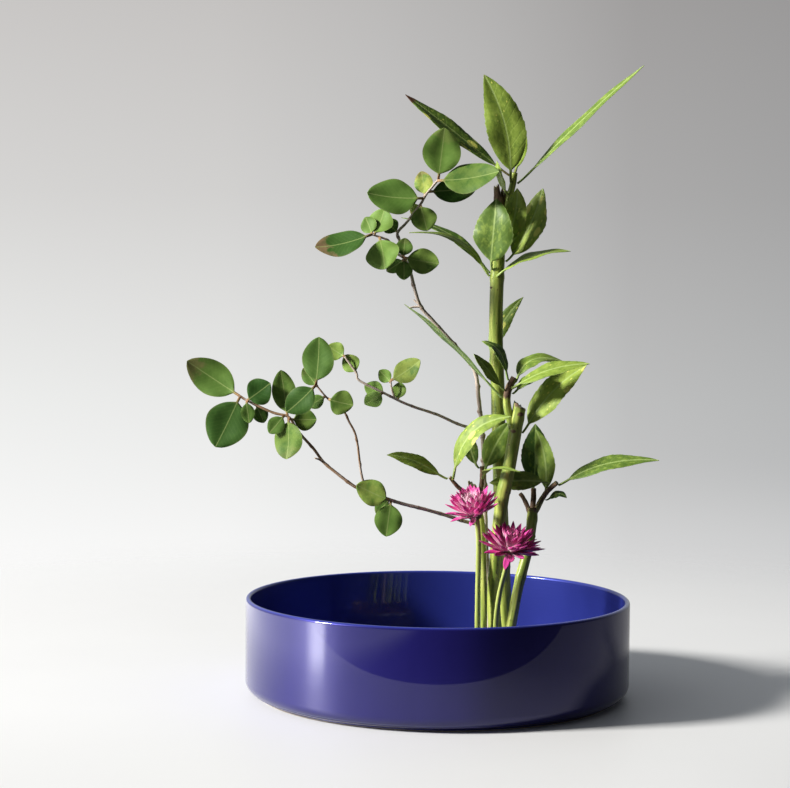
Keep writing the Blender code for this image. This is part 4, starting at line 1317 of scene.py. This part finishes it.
# %% Second branch
second_foot = foot_on_needles(-1.5, -1.5)
second_route = Route(
    second_foot,
    [(0, 0, 0), (0, 0, 13), (-2, 1, 42), (0, -4, 84), (3, -8, 113), (7, -10, 133),
     (10, -11, 152), (12, -12, 166), (14, -13, 178)],
    (4.5, 4.4),
)
second_shoot = Route(
    second_foot, [(9, -12, 160), (5, -13, 176), (6, -13, 186), (10, -13, 194)],
    (2.8, 2.4),
)
laurel_stem(
    "second", second_route, [second_shoot],
    laurel_looks(2, scars=[(160, 250, 2.2), (150, 230, 1.1), (118, 330, 1.0), (172, 290, 2.6),
                           (66, 210, 0.9)],
                 nodes=(58, 120, 168), cork=173),
    ((0.8, -0.1, 1), 3, 0.8, 8), shoot_cork=17,
)
laurel_leaves("second", second_shoot, [
    ("long_left", 179, 180, (-66, 6, 62), (1, 0, 4), 13, (-0.65, -0.25, -0.7), (0.1, 0.4, 0.1)),
    ("striped", 184, 215, (-21, -8, 24), (0, 0, 1), 10, (0.3, -0.7, 0.6), (0.75, 0.5, 0)),
    ("ribbed", 190, 150, (-18, 6, 26), (4, 0, 5), 12, (0.7, -0.5, 0.4), (0.1, 0.3, 0)),
    ("upper_dark", 191, 45, (33, 12, 14), (-6, 0, 8), 15, (-0.3, -0.5, 0.8), (0.4, 0.55, 0)),
    ("upper_light", 187, 300, (51, -10, 17), (-2, 0, 4), 14, (-0.2, -0.6, 0.75), (0.65, 0.5, 0)),
    ("small_right", 183, 350, (24, 4, 12), (-2, 0, 4), 10, (-0.2, -0.5, 0.8), (0.3, 0.3, 0)),
])
laurel_leaves("second", second_route, [
    ("broad", 157, 20, (43, 4, 46), (-4, 0, 3), 21, (-0.6, -0.85, 0.3), (1, 1.2, 0)),
])

# %% Right and left branches
right_foot = foot_on_needles(0, -3)
right_route = Route(
    right_foot,
    [(0, 0, 0), (0, 0, 13), (3, 0, 26), (8, 2, 53), (14, 6, 77), (17, 10, 97), (17, 11, 105)],
    (3.5, 3.4),
)
right_shoots = [
    Route(right_foot, points, radii) for points, radii in (
        ([(16, 11, 100), (12, 15, 110), (9, 17, 114)], (1.6, 1.3)),
        ([(17, 11, 100), (18, 14, 110), (18, 15, 118)], (2, 1.7)),
        ([(18, 11, 100), (24, 9, 112), (28, 6, 118), (33, 2, 123)], (2, 1.6)),
    )
]
laurel_stem(
    "right", right_route, right_shoots,
    laurel_looks(3, scars=[(88, 340, 1.2), (30, 250, 0.9), (60, 200, 0.8), (44, 320, 0.8)],
                 nodes=(60, 100), cork=101),
    shoot_cork=-2,
)
laurel_leaves("right", right_shoots[2], [
    ("long", 122, 0, (66.7, -8, 18), (-4, 0, 6), 15, (-0.1, -0.55, 0.8), (0.25, 0.45, 0.1)),
    ("level", 120, 150, (-41, 1, 0), (0, 0, 1), 13, (0, -1, 0.05), (0.4, 0.5, 0)),
    ("upright", 112, 60, (-6, 6, 46), (3, 0, 2), 14, (-0.5, -1, 0), (0.45, 0.4, 0)),
    ("curled", 112, 330, (14, -5, 2), (0, 0, 4), 7, (0, -0.6, 0.8), (0.0, 0.1, 0.2)),
])
laurel_leaves("right", right_shoots[1], [
    ("broad", 117, 90, (1, 3, 44), (1, 0, 0), 20, (-0.2, -1, 0), (0.0, 0.2, 0)),
])
left_foot = foot_on_needles(-3.5, -2.5)
left_route = Route(
    left_foot,
    [(0, 0, 0), (0, 0, 13), (0, -2, 36), (-1, 0, 70), (-3, 4, 97), (-7, 4, 112), (-9, 4, 124)],
    (1.9, 2.8),
)
left_shoots = [
    Route(left_foot, points, radii) for points, radii in (
        ([(-7, 4, 108), (-11, 3, 114), (-18, 2, 119), (-24, 0, 126)], (1.5, 1.2)),
        ([(-4, 4, 99), (-3, 8, 113), (-2, 8, 124), (-2, 7, 133)], (1.6, 1.4)),
    )
]
laurel_stem(
    "left", left_route, left_shoots,
    laurel_looks(4, scars=[(80, 230, 1.1), (50, 300, 0.8)], nodes=(52, 96), cork=112),
    ((0.5, -0.5, 1), 3, 0.8, 3), shoot_cork=-2,
)
laurel_leaves("left", left_shoots[0], [
    ("low", 126, 180, (-41, -5, 16), (0, 0, 4), 12, (-0.1, -0.7, 0.7), (0.75, 0.5, 0.1)),
    ("arching", 124, 290, (38, -18, 44), (-8, 0, 9), 16, (-0.5, -0.7, 0.5), (0.7, 1.1, 0)),
])
laurel_leaves("left", left_shoots[1], [
    ("dark", 131, 200, (-10, -6, 27), (0, 0, 0), 10, (-0.3, -1, 0), (0.05, 0.3, 0)),
    ("large", 128, 60, (18, -3, 35), (-2, 0, 0), 16, (-0.2, -1, 0), (0.3, 0.6, 0)),
    ("thin", 125, 280, (24, -32, 7), (-6, -4, 5), 8, (0, -0.3, 1), (0.8, 0.3, 0)),
])

# %% [markdown]
# ## The twig with round leaves
#
# A thin twig climbs beside the tall branch and leans out to the left, with two
# long side twigs. Its bark is rough, dry and tan, browner along the low side
# twig, with a small ring and a bud at every node. The buds are part of the skin:
# the rings swell on one side there, on the left and the right by turns.

# %% Bark of the twig
TWIG_NODE_STEP = 17


def twig_looks(seed):
    """Dry bark with rings and buds at even steps, on one side and then the other."""
    def looks(out, travelled, radius):
        along = travelled / MM
        near = round(along / TWIG_NODE_STEP)
        away = along - near * TWIG_NODE_STEP
        ring = bulge(away, 0.7)
        side = 1 if near % 2 else -1
        bud = max(out.x * side, 0) ** 2 * bulge(away - 0.9, 1.1)
        rough = noise.noise(Vector((out.x * 2.5, out.y * 2.5, along * 0.35 + seed * 11)))
        grown = radius * (0.16 * ring + 0.5 * bud + 0.13 * rough)
        return grown, ring * 0.5 + bud * 0.5
    return looks


def dry_bark():
    """Dry tan bark, browner at its nodes and along the low side twig."""
    finish = Finish("twig_bark")
    skin_place = finish.stored("skin_place")
    marks = finish.stored("skin_marks")
    place = finish.place()
    grain = finish.cloud(finish.stretched(skin_place, (1.6, 1.6, 0.12)), 1, 5)
    patches = finish.cloud(finish.stretched(skin_place, (0.5, 0.5, 0.09)), 1, 4)
    pale = finish.blend(grain, (0.86, 0.75, 0.64), (0.95, 0.89, 0.82))
    brown = finish.blend(grain, (0.2, 0.11, 0.055), (0.42, 0.27, 0.16))
    left, high = -place.part("X"), place.part("Z")
    low_twig = left.ramp(0.038, 0.052) * (0.165 + left * 0.6 - high).ramp(0, 0.004)
    worn = (low_twig * patches.ramp(0.2, 0.5)).at_least(0.5)
    bark = finish.blend(worn, pale, brown)
    bark = finish.blend(marks.part("X").ramp(0.1, 0.5) * 0.55, bark, (0.2, 0.1, 0.05))
    cut = marks.part("Y")
    finish.set(
        base_color=finish.blend(cut > 0.001, bark, (0.55, 0.46, 0.3)),
        roughness=0.6 + grain * 0.2,
        specular_ior_level=0.35,
    )
    finish.relief(grain * 0.6 + patches * 0.4, 0.4, 0.0003)
    return finish.material


twig_bark = dry_bark()
print("twig bark ready")

# %% [markdown]
# ## Round leaves
#
# The leaves of the twig are small and smooth-edged, a dull green with a pale
# midrib, and a few turn pink or yellow. Their tone is painted light: pale for
# leaves in the light, dark for those in the shade of others. They come from the
# same function as the laurel leaves, with another kind: a fuller outline, no
# teeth, no freckles.

# %% Finish of the round leaves
round_kind = LeafKind(
    rows=28, columns=10, thickness=0.22, rib=0.4, tip=0.3,
    fullness=0.62, widest=0.9, teeth=0, waves=1.3,
)


def round_leaf_finish():
    """Dull green leaf with a pale midrib, brown at its stalk; some turn yellow or pink."""
    finish = Finish("round_leaf")
    across, along, seed = finish.stored("leaf_mm").parts()
    edge, reach, upper = finish.stored("leaf_share").parts()
    tone, yellow, pink = finish.stored("leaf_traits").parts()
    at = finish.joined(across, along, seed * 9.0)
    drift = finish.cloud(at, 0.16, 4)
    veins = slanted_veins(across, along, drift * 2, 3.1, 0.8)
    rib = 1 - abs(across).ramp(0.12, 0.5)
    dark = finish.blend(drift, (0.02, 0.07, 0.01), (0.048, 0.135, 0.02))
    light = finish.blend(drift, (0.105, 0.225, 0.03), (0.25, 0.4, 0.08))
    # Painted light: each leaf's tone is pale for a leaf in the light and dark for one in the
    # shade of others.
    green = finish.blend(tone, dark, light)
    green = finish.blend(yellow * drift.ramp(0.3, 0.6), green, (0.6, 0.66, 0.14))
    blush = (reach * 4 + drift * 3 - 4.3).ramp(0, 0.6) * pink
    green = finish.blend(blush, green, (0.42, 0.2, 0.14))
    green = finish.blend(rib * 0.5 + veins * 0.05, green, (0.42, 0.52, 0.18))
    green = finish.blend(edge.ramp(0.9, 1) * 0.2, green, (0.4, 0.42, 0.16))
    under = finish.blend(0.5, green, (0.55, 0.62, 0.47))
    green = finish.blend(upper.ramp(0.4, 0.6), under, green)
    green = finish.blend(1 - reach.ramp(0.03, 0.16), green, (0.38, 0.22, 0.11))
    finish.set(base_color=green, roughness=0.5 + drift * 0.12, specular_ior_level=0.18)
    finish.relief(finish.cloud(at, 0.35, 2) * 0.5 - veins * 0.12, 0.25, 0.0003)
    return finish.material


round_leaf_look = round_leaf_finish()
print("round leaf finish:", len(round_leaf_look.node_tree.nodes), "nodes")

# %% Grow the twig
TWIG_SIDES = 12
ROUND_WIDTH = 1.2 * MM
BOW_BACK = -0.08
FORWARD = Vector((0, -3, 0))
HARDLY_OUT = 0.001


def round_leaves(node, twigs, rows):
    """The small leaves of one twig: (twig, mark, reach, width, face, (tone, yellow, pink))."""
    bm = bmesh.new()
    for number, (twig, mark, reach, width, face, traits) in enumerate(rows, 1):
        base = twigs[twig].at_mark(mark)
        reach = Vector(reach) * MM
        bow = Vector(face).normalized() * (BOW_BACK * reach.length)
        # A leaf that reaches forward starts in front of its twig.
        out = FORWARD if reach.y < 0 else Vector(face) * HARDLY_OUT
        grow_leaf(bm, round_kind, base, out, reach, bow, width * ROUND_WIDTH, face, traits,
                  number * 1.3)
    name = node + "_leaves"
    mesh_piece(bm, name, round_leaf_look, "twig", node, LEAF_EDGE)


def twig_piece(node, twigs, rows):
    """One twig with its side twigs, and a piece for its leaves."""
    bm = bmesh.new()
    for number, twig in enumerate(twigs):
        rings = skin(bm, twig, TWIG_SIDES, twig_looks(number + len(node)))
        cut_end(bm, rings[-1], twig.last_way(), 1)
    mesh_piece(bm, node + "_bark", twig_bark, "twig", node)
    round_leaves(node, twigs, rows)
    print(node + ":", len(twigs), "twigs and", len(rows), "leaves")


twig_foot = foot_on_needles(-2.5, 1.5)
main_twig = Route(
    twig_foot,
    [(0, 0, 0), (0, 0, 13), (-1, -1, 40), (-3, -2, 82), (-4, -2, 109), (-6, -4, 151),
     (-9, -5, 178), (-12, -6, 198), (-22, -8, 211), (-31, -10, 221), (-41, -12, 232),
     (-49, -14, 241), (-53, -17, 252), (-57, -18, 267), (-61, -19, 274), (-64, -19, 286),
     (-65, -18, 291), (-59, -16, 298), (-50, -16, 310), (-46, -15, 317), (-38, -14, 327)],
    (1.7, 0.8),
)
tall_sides = [
    Route(twig_foot, points, radii) for points, radii in (
        ([(-61, -19, 274), (-67, -20, 278), (-71, -22, 285), (-82, -25, 289)], (0.9, 0.7)),
        ([(-49, -14, 241), (-53, -14, 241), (-57, -15, 240)], (0.8, 0.6)),
        ([(-50, -14, 243), (-52, -13, 244), (-54, -13, 246)], (0.7, 0.5)),
    )
]
twig_piece("tall_twig", [main_twig, *tall_sides], [
    (0, 20, (4, -6, 34), 22, FRONT, (0.8, 0, 0.1)),
    (0, 19.9, (41, -16, 5), 20, (0.1, -1, 0.5), (0.3, 0.1, 0)),
    (0, 19.2, (32, 4, 2), 14, (0, -1, -0.2), (0.1, 0, 0.1)),
    (0, 18.8, (-3, 5, 17), 11, (-0.2, -1, 0), (0.9, 0.7, 0.4)),
    (0, 18.6, (-38, -6, 3), 23, (0, -0.9, 0.45), (0.5, 0, 0)),
    (1, 2.9, (7, 4, 18), 16, (-0.4, -1, 0.15), (1, 0, 0)),
    (1, 3, (-5, 6, 12), 10, (-0.3, -1, 0.1), (0.8, 0, 0)),
    (1, 3, (-38, -4, -9), 18, (0, -0.8, 0.6), (0.1, 0, 0.5)),
    (1, 2.6, (4, -5, -22), 21, (-0.5, -1, 0.3), (1, 0, 0)),
    (0, 16, (-9, 3, 8), 10, FRONT, (0.5, 0, 0)),
    (0, 18, (5, -4, -18), 15, (0, -1, 0.3), (0.8, 0.1, 0)),
    (0, 18, (-6, 3, -7), 9, (-0.4, -1, 0.1), (0.9, 0.9, 0.3)),
    (0, 14, (1, -3, 13), 10, FRONT, (0.6, 0, 0.1)),
    (0, 14, (24, -4, -4), 15, (-0.3, -1, 0.3), (0.9, 0.1, 0)),
    (0, 13.9, (0, -4, -14), 10, FRONT, (0.7, 0, 0)),
    (0, 13.9, (-12, 4, -8), 8, FRONT, (0.5, 0, 0.1)),
])

# %% Middle side twig
def fork_on(route, height, toward, radius):
    """Place where a side twig stands just off the skin of another."""
    index = route.at_height(height)
    place, own = route.places[index], route.radii[index]
    out = (route.foot + Vector(toward) * MM - place).normalized()
    level = math.hypot(out.x, out.y)
    return (place + out * ((own + SKIN_GAP) / level + radius * abs(out.z)) - route.foot) / MM


middle_root = fork_on(main_twig, 155, (-15, -7, 159), 1.1 * MM)
middle_twigs = [
    Route(
        twig_foot,
        [middle_root, (-15, -7, 159), (-24, -10, 162), (-37, -14, 168), (-52, -18, 173),
         (-62, -20, 177), (-74, -22, 183), (-90, -22, 191), (-92, -22, 196), (-100, -22, 207)],
        (1.1, 0.7),
    ),
    Route(twig_foot, [(-66, -20, 179), (-68, -20, 185), (-69, -19, 191)], (0.7, 0.6)),
]
twig_piece("middle_spray", middle_twigs, [
    (0, 9, (-12, 3, 7), 11, (-0.5, -1, 0.3), (1, 0.2, 0)),
    (0, 8, (-8, 3, 12), 11, (-0.4, -1, 0.2), (1, 0.1, 0.1)),
    (0, 5.9, (-14, 5, 5), 10, (-0.4, -1, 0.2), (0.9, 0, 0)),
    (0, 6, (-12, -4, -8), 11, (-0.5, -1, 0.3), (1, 0, 0)),
    (1, 1.8, (-8, 3, 8), 8, (-0.4, -1, 0.2), (0.9, 0, 0)),
    (1, 2, (20, -4, 14), 14, (-0.1, -0.9, 0.4), (0.35, 0.35, 0)),
    (0, 5.2, (1, 4, 12), 9, (-0.3, -1, 0.2), (0.9, 0.1, 0)),
])

# %% Low side twig
low_root = fork_on(main_twig, 91, (-17, -9, 95), 1.3 * MM)
low_twigs = [
    Route(twig_foot, points, radii) for points, radii in (
        ([low_root, (-17, -9, 95), (-31, -16, 100), (-47, -23, 105), (-62, -27, 109),
          (-76, -29, 114), (-85, -30, 118), (-92, -31, 120), (-103, -31, 128),
          (-113, -30, 136), (-120, -29, 145), (-131, -28, 157), (-137, -27, 166),
          (-148, -26, 169), (-164, -24, 176), (-171, -23, 180)], (1.3, 0.8)),
        ([(-85, -30, 118), (-88, -32, 131), (-91, -35, 153), (-96, -36, 164), (-101, -37, 173),
          (-110, -37, 179), (-118, -37, 188)], (0.8, 0.6)),
        ([(-113, -30, 136), (-116, -32, 138), (-119, -33, 139)], (0.7, 0.5)),
    )
]
twig_piece("low_spray", low_twigs, [
    (0, 4.5, (-22, -5, 10), 15, (-0.3, -0.93, 0.35), (1, 0.3, 0)),
    (0, 4.4, (-3, -5, -24), 16, FRONT, (0.7, 0, 0)),
    (0, 4.45, (-9, 3, -10), 9, FRONT, (0.5, 0, 0.1)),
    (0, 15, (-36, 4, 23), 20, FRONT, (0.6, 0, 0.3)),
    (0, 14.9, (-16, -6, -34), 25, FRONT, (0.1, 0, 0)),
    (0, 14.2, (16, -4, 12), 16, FRONT, (0.0, 0, 0)),
    (0, 14.1, (2, -5, -15), 8, FRONT, (0.5, 0, 0)),
    (0, 13.7, (5, 3, -12), 9, FRONT, (0.4, 0, 0)),
    (0, 12.1, (-5, 3, 31), 14, FRONT, (0.5, 0.05, 0)),
    (1, 6, (-19, -6, -18), 16, (0, -1, 0.4), (0.1, 0, 0)),
    (1, 6, (2, -4, 32), 19, (-0.2, -1, 0.15), (0.35, 0, 0)),
    (1, 5.9, (-10, 5, 12), 9, FRONT, (0.5, 0, 0.1)),
    (0, 12.3, (-10, -4, -12), 10, FRONT, (0.5, 0, 0)),
    (0, 12, (-1, -6, -28), 19, (-0.5, -1, 0.25), (0.5, 0.1, 0.1)),
    (0, 11.8, (17, 3, 0), 13, FRONT, (0.6, 0.1, 0)),
    (1, 5.2, (-12, 5, -7), 8, FRONT, (0.5, 0, 0.1)),
    (1, 5, (17, -4, -4), 15, (0, -1, 0.3), (0.5, 0.1, 0)),
])

# %% [markdown]
# ## Chrysanthemums
#
# A chrysanthemum is not one flower but a head of many, each with one strap for
# a petal. They sit in a spiral: each one is turned by the golden angle from the
# one before, which spreads any number of them evenly. The outer ones are long
# and lie low, the inner ones are short and stand up. Every petal is a small
# trough with a rounded tip that bends on its way, and no two are quite alike.
#
# The head leans, so it is built standing on the Z axis and turned at the end.

# %% One petal
GOLDEN_ANGLE = math.pi * (3 - math.sqrt(5))
PETAL_ROWS = 9
PETAL_COLUMNS = 4
PETAL_SHEET = 0.28 * MM
PETAL_LAYERS = ("petal_share", "petal_traits")


def petal_half(share, width):
    """Half the width of a petal: narrow at the root, widest in the middle, pointed tip."""
    rise = smoothly(-0.25, 0.55, share)
    tip = 1 - max((share - 0.5) / 0.5, 0) ** 2
    return width / 2 * (0.4 + 0.6 * rise) * max(tip, 0.07)


def grow_petal(bm, turn, root, petal, traits):
    """Add one petal: root is (radius, height), petal is (length, width, rises, trough, sway)."""
    length, width, rises, trough, sway = petal
    out = Vector((math.cos(turn), math.sin(turn), 0))
    side = Vector((-out.y, out.x, 0))
    centre = out * root[0] + Vector((0, 0, root[1]))
    sheet = Sheet(bm, PETAL_LAYERS)
    for row in range(PETAL_ROWS + 1):
        share = row / PETAL_ROWS
        rise = math.radians(mixed(rises, share))
        along = out * math.cos(rise) + Vector((0, 0, math.sin(rise)))
        if row:
            centre = centre + (along + side * sway * share) * (length / PETAL_ROWS)
        normal = side.cross(along) * -1
        half = petal_half(share, width)
        sheet.new_row()
        for column in range(PETAL_COLUMNS + 1):
            x = 2 * column / PETAL_COLUMNS - 1
            place = centre + side * x * half + normal * (half * trough * (x * x - 0.35))
            thick = PETAL_SHEET * (0.5 - 0.28 * abs(x) ** 3)
            sheet.add(place, normal * thick, x, share, traits)
    stitch(bm, sheet.under, sheet.top)


print("golden angle:", round(math.degrees(GOLDEN_ANGLE), 1), "degrees")

# %% [markdown]
# Under the petals sits a green cup of small overlapping scales in three rows.
# In the middle of the head the youngest florets are still shut: short, blunt
# and greenish, they make the heart.

# %% Scales and florets
CUP_RADIUS = 5.2 * MM
CUP_HEIGHT = 4 * MM
CUP_NECK = 1.7 * MM
CORE_SIDES = 24
SCALE_WIDTH = 2.3 * MM
SCALE_ROWS = ((9, 0.42, 0.55, 3.0), (12, 0.66, 1.1, 3.4), (15, 0.84, 2.0, 2.6))
HEART_STEPS = [(4.4 * MM, 6.3 * MM), (3.1 * MM, 8.5 * MM), (1.8 * MM, 10.7 * MM)]
FLORETS = 46


def turned_core(bm, profile, ripple):
    """Turn a profile of (radius, height) about the Z axis and close its ends."""
    in_shares, _ = point_layers(bm, PETAL_LAYERS)
    rings = []
    for number, (radius, height) in enumerate(profile):
        ring = []
        for step in range(CORE_SIDES):
            turn = 2 * math.pi * step / CORE_SIDES
            grown = radius * (1 + ripple * math.cos(turn * 12 + number))
            vert = bm.verts.new((math.cos(turn) * grown, math.sin(turn) * grown, height))
            vert[in_shares] = (0, number / len(profile), 0)
            ring.append(vert)
        rings.append(ring)
    join_rings(bm, rings)
    bm.faces.new(rings[0][::-1])
    bm.faces.new(rings[-1])


def cup_mesh(name):
    """Green cup: a turned core under three rows of scales."""
    bm = bmesh.new()
    core = [(CUP_NECK, 0.3 * MM), (0.7 * CUP_RADIUS, 1.0 * MM), (0.9 * CUP_RADIUS, 2.4 * MM),
            (0.9 * CUP_RADIUS, 3.4 * MM), (0.8 * CUP_RADIUS, CUP_HEIGHT)]
    turned_core(bm, core, 0.02)
    for row, (count, radius, height, length) in enumerate(SCALE_ROWS):
        for number in range(count):
            turn = 2 * math.pi * (number + 0.5 * row) / count
            scale = (length * MM, SCALE_WIDTH, (24 + 18 * row, 74), 0.2, 0)
            grow_petal(bm, turn, (CUP_RADIUS * radius, height * MM), scale, (0.5, row / 2, 0))
    return finished_mesh(bm, name)


def heart_mesh(name):
    """Shut florets on a stepped core."""
    bm = bmesh.new()
    core = [(CUP_RADIUS * 0.78, CUP_HEIGHT + 0.3 * MM)]
    for radius, top in HEART_STEPS:
        core += [(radius, core[-1][1] + 0.1 * MM), (radius, top - 0.2 * MM)]
    core += [(0.9 * MM, 11.4 * MM)]
    turned_core(bm, core, 0.015)
    random.seed(5)
    for number in range(FLORETS):
        share = number / FLORETS
        length = random.uniform(2.2, 3.2) * MM * (1 - 0.12 * share)
        root = (0.35 * MM + 1.75 * MM * math.sqrt(share), 9.4 * MM)
        floret = (length, 1.1 * MM, (78, 96 - number), 0.5, 0)
        grow_petal(bm, GOLDEN_ANGLE * number, root, floret, (random.random(), 0, 0))
    return finished_mesh(bm, name)


print("scales and florets ready")

# %% [markdown]
# The three rings of petals start where the rings of the solids start, so each
# piece stands in the place of its solid. Magenta petals are pale at the root,
# deep in the middle and almost maroon at the tip, with fine lines along them
# and a silvery pink back. The upper flower is paler in its middle. The petals of
# the lower flower are painted a darker magenta than those of the upper one:
# painted shade.

# %% Rings of petals
# Each ring: name, seed, first petal, count, radii and heights of the roots in mm, share
# of the length that is left at its inner edge, rises in degrees, how much the flower's
# lift and droop move it, and width in mm.
WHORLS = (
    ("outer", 0, 0, 34, (4.3, 4.5), (4.4, 6.0), 0.93, (4, 34), 1, 1, 5.0),
    ("middle", 7, 34, 26, (3.9, 3.4), (6.3, 8.3), 0.9, (34, 54), 1, 1, 4.5),
    ("inner", 9, 60, 22, (2.8, 2.0), (8.5, 10.4), 0.75, (56, 78), 0, 0.6, 3.7),
)
HANGING = 35


def whorl_mesh(name, number, ring, length, lift, droop, lit_tone, white):
    """Petals of one ring, each a little different, from its outer edge to its inner one."""
    seed, first, count, radii, heights, left, rises, lifted, drooping, width = ring
    random.seed(number + seed)
    bm = bmesh.new()
    for petal in range(first, first + count):
        share = (petal - first) / (count - 1)
        root = (mixed(radii, share) * MM, mixed(heights, share) * MM)
        long = mixed((length, length * left), share) * MM * random.uniform(0.88, 1.0)
        rise = mixed(rises, share) + lift * lifted + random.uniform(-6, 6)
        rise += droop * drooping * math.sin(GOLDEN_ANGLE * petal)
        if first == 0 and petal % 9 == 6:
            rise -= HANGING
        curl = random.uniform(4, 22)
        shape = (long, width * MM * random.uniform(0.85, 1.1), (rise, rise + curl),
                 random.uniform(0.25, 0.75), random.uniform(-0.16, 0.16))
        # Painted shade: the lower flower has the lower lit tone, so its petals are darker.
        traits = (lit_tone + random.random() * 0.5, white, random.uniform(0, 9))
        grow_petal(bm, GOLDEN_ANGLE * petal, root, shape, traits)
    return finished_mesh(bm, name)


def petal_finish():
    """Magenta, pale at the root and deep at the tip, silvery below."""
    finish = Finish("petal_magenta")
    across, reach, upper = finish.stored("petal_share").parts()
    tone, white, seed = finish.stored("petal_traits").parts()
    lines = finish.cloud(finish.joined(across * 4.0, reach * 1.6, seed), 2.2, 3)
    # The tone is partly painted shade: the petals of the lower flower are darker.
    deep = finish.blend(tone, (0.6, 0.03, 0.27), (0.93, 0.12, 0.5))
    tip = finish.blend(reach.ramp(0.8, 1) * 0.3, deep, (0.5, 0.02, 0.2))
    pale = finish.blend((1 - reach + white).ramp(0.3, 0.95) * 0.9, tip, (0.9, 0.7, 0.76))
    lined = finish.blend(lines.ramp(0.5, 0.75) * 0.35, pale, (0.75, 0.2, 0.45))
    back = finish.blend((1 - reach).ramp(0.1, 0.9) * 0.85, lined, (0.92, 0.74, 0.8))
    finish.set(
        base_color=finish.blend(upper.ramp(0.4, 0.6), back, lined),
        roughness=0.5 + lines * 0.15,
        specular_ior_level=0.25,
        sheen_weight=0.08,
        sheen_roughness=0.35,
    )
    finish.relief(lines, 0.35, 0.0005)
    return finish.material


def flower_green(name, dark, light, tip):
    """Green of scales, florets and flower stems."""
    finish = Finish(name)
    tone = finish.stored("petal_traits").part("X")
    reach = finish.stored("petal_share").part("Y")
    mottle = finish.cloud(finish.place(), 700, 4)
    green = finish.blend(mottle, dark, light)
    green = finish.blend(tone * 0.4, green, light)
    green = finish.blend(reach.ramp(0.6, 1) * 0.7, green, tip)
    finish.set(base_color=green, roughness=0.55 + mottle * 0.15, specular_ior_level=0.4)
    finish.relief(mottle, 0.4, 0.0003)
    return finish.material


petal_look = petal_finish()
scale_look = flower_green("flower_cup", (0.1, 0.16, 0.04), (0.26, 0.33, 0.11), (0.2, 0.12, 0.05))
floret_look = flower_green(
    "flower_heart", (0.42, 0.45, 0.07), (0.66, 0.66, 0.16), (0.72, 0.35, 0.35)
)
flower_bark = green_bark("flower_stem", (0.35, 0.44, 0.085), (0.64, 0.71, 0.22))
print("flower finishes ready")

# %% Put the heads on their stems
HEAD_NECK = 3 * MM
FLOWER_STEM_SIDES = 18


def flower(number, seat, points, lean, lengths, lift, droop, lit_tone, pale):
    """A chrysanthemum: stem, cup, heart and three rings of petals."""
    body = f"flower_{number}"
    foot = foot_on_needles(*seat)
    lean = Vector(lean).normalized()
    top = foot + Vector(points[-1]) * MM + lean * HEAD_NECK
    route = Route(foot, [*points, (top - foot) / MM], (1.75, 1.7))
    bm = bmesh.new()
    rings = skin(bm, route, FLOWER_STEM_SIDES, laurel_looks(number + 20, rough=0.16))
    cut_end(bm, rings[-1], lean, 1)
    mesh_piece(bm, body + "_stem_skin", flower_bark, body, body + "_stem")
    turn = Vector((0, 0, 1)).rotation_difference(lean).to_matrix().to_4x4()
    parts = [
        ("cup", cup_mesh(body + "_scales"), scale_look, "flower_cup"),
        ("heart", heart_mesh(body + "_florets"), floret_look, "flower_heart"),
    ]
    for (ring, *shape), length, white in zip(WHORLS, lengths, pale):
        mesh = whorl_mesh(f"{body}_{ring}", number, shape, length, lift, droop, lit_tone, white)
        parts.append(("petals_" + ring, mesh, petal_look, "petal_magenta"))
    for part, mesh, look, slot in parts:
        mesh.transform(Matrix.Translation(top) @ turn)
        mesh.materials.append(look)
        new_piece(mesh.name, mesh, body, f"{body}_{part}")
    print(body, "stands", round(top.z / MM), "mm high")


flower(
    1, (-4.5, -3.5),
    [(0, 0, 0), (0, 0, 13), (0, -2, 26), (0, -7, 58), (0, -12, 84), (-1, -15, 97)],
    lean=(-0.25, -0.35, 0.9), lengths=(18, 16, 12.5), lift=14, droop=6,
    lit_tone=0.5, pale=(0, 0.3, 0.9),
)
flower(
    2, (-1.5, -4.5),
    [(0, 0, 0), (0, 0, 13), (-1, -1, 27), (1, -10, 50), (4, -18, 65), (6, -22, 73)],
    lean=(0.1, -0.22, 0.95), lengths=(19.5, 17, 13), lift=0, droop=10,
    lit_tone=0, pale=(-0.2, 0, 0.35),
)
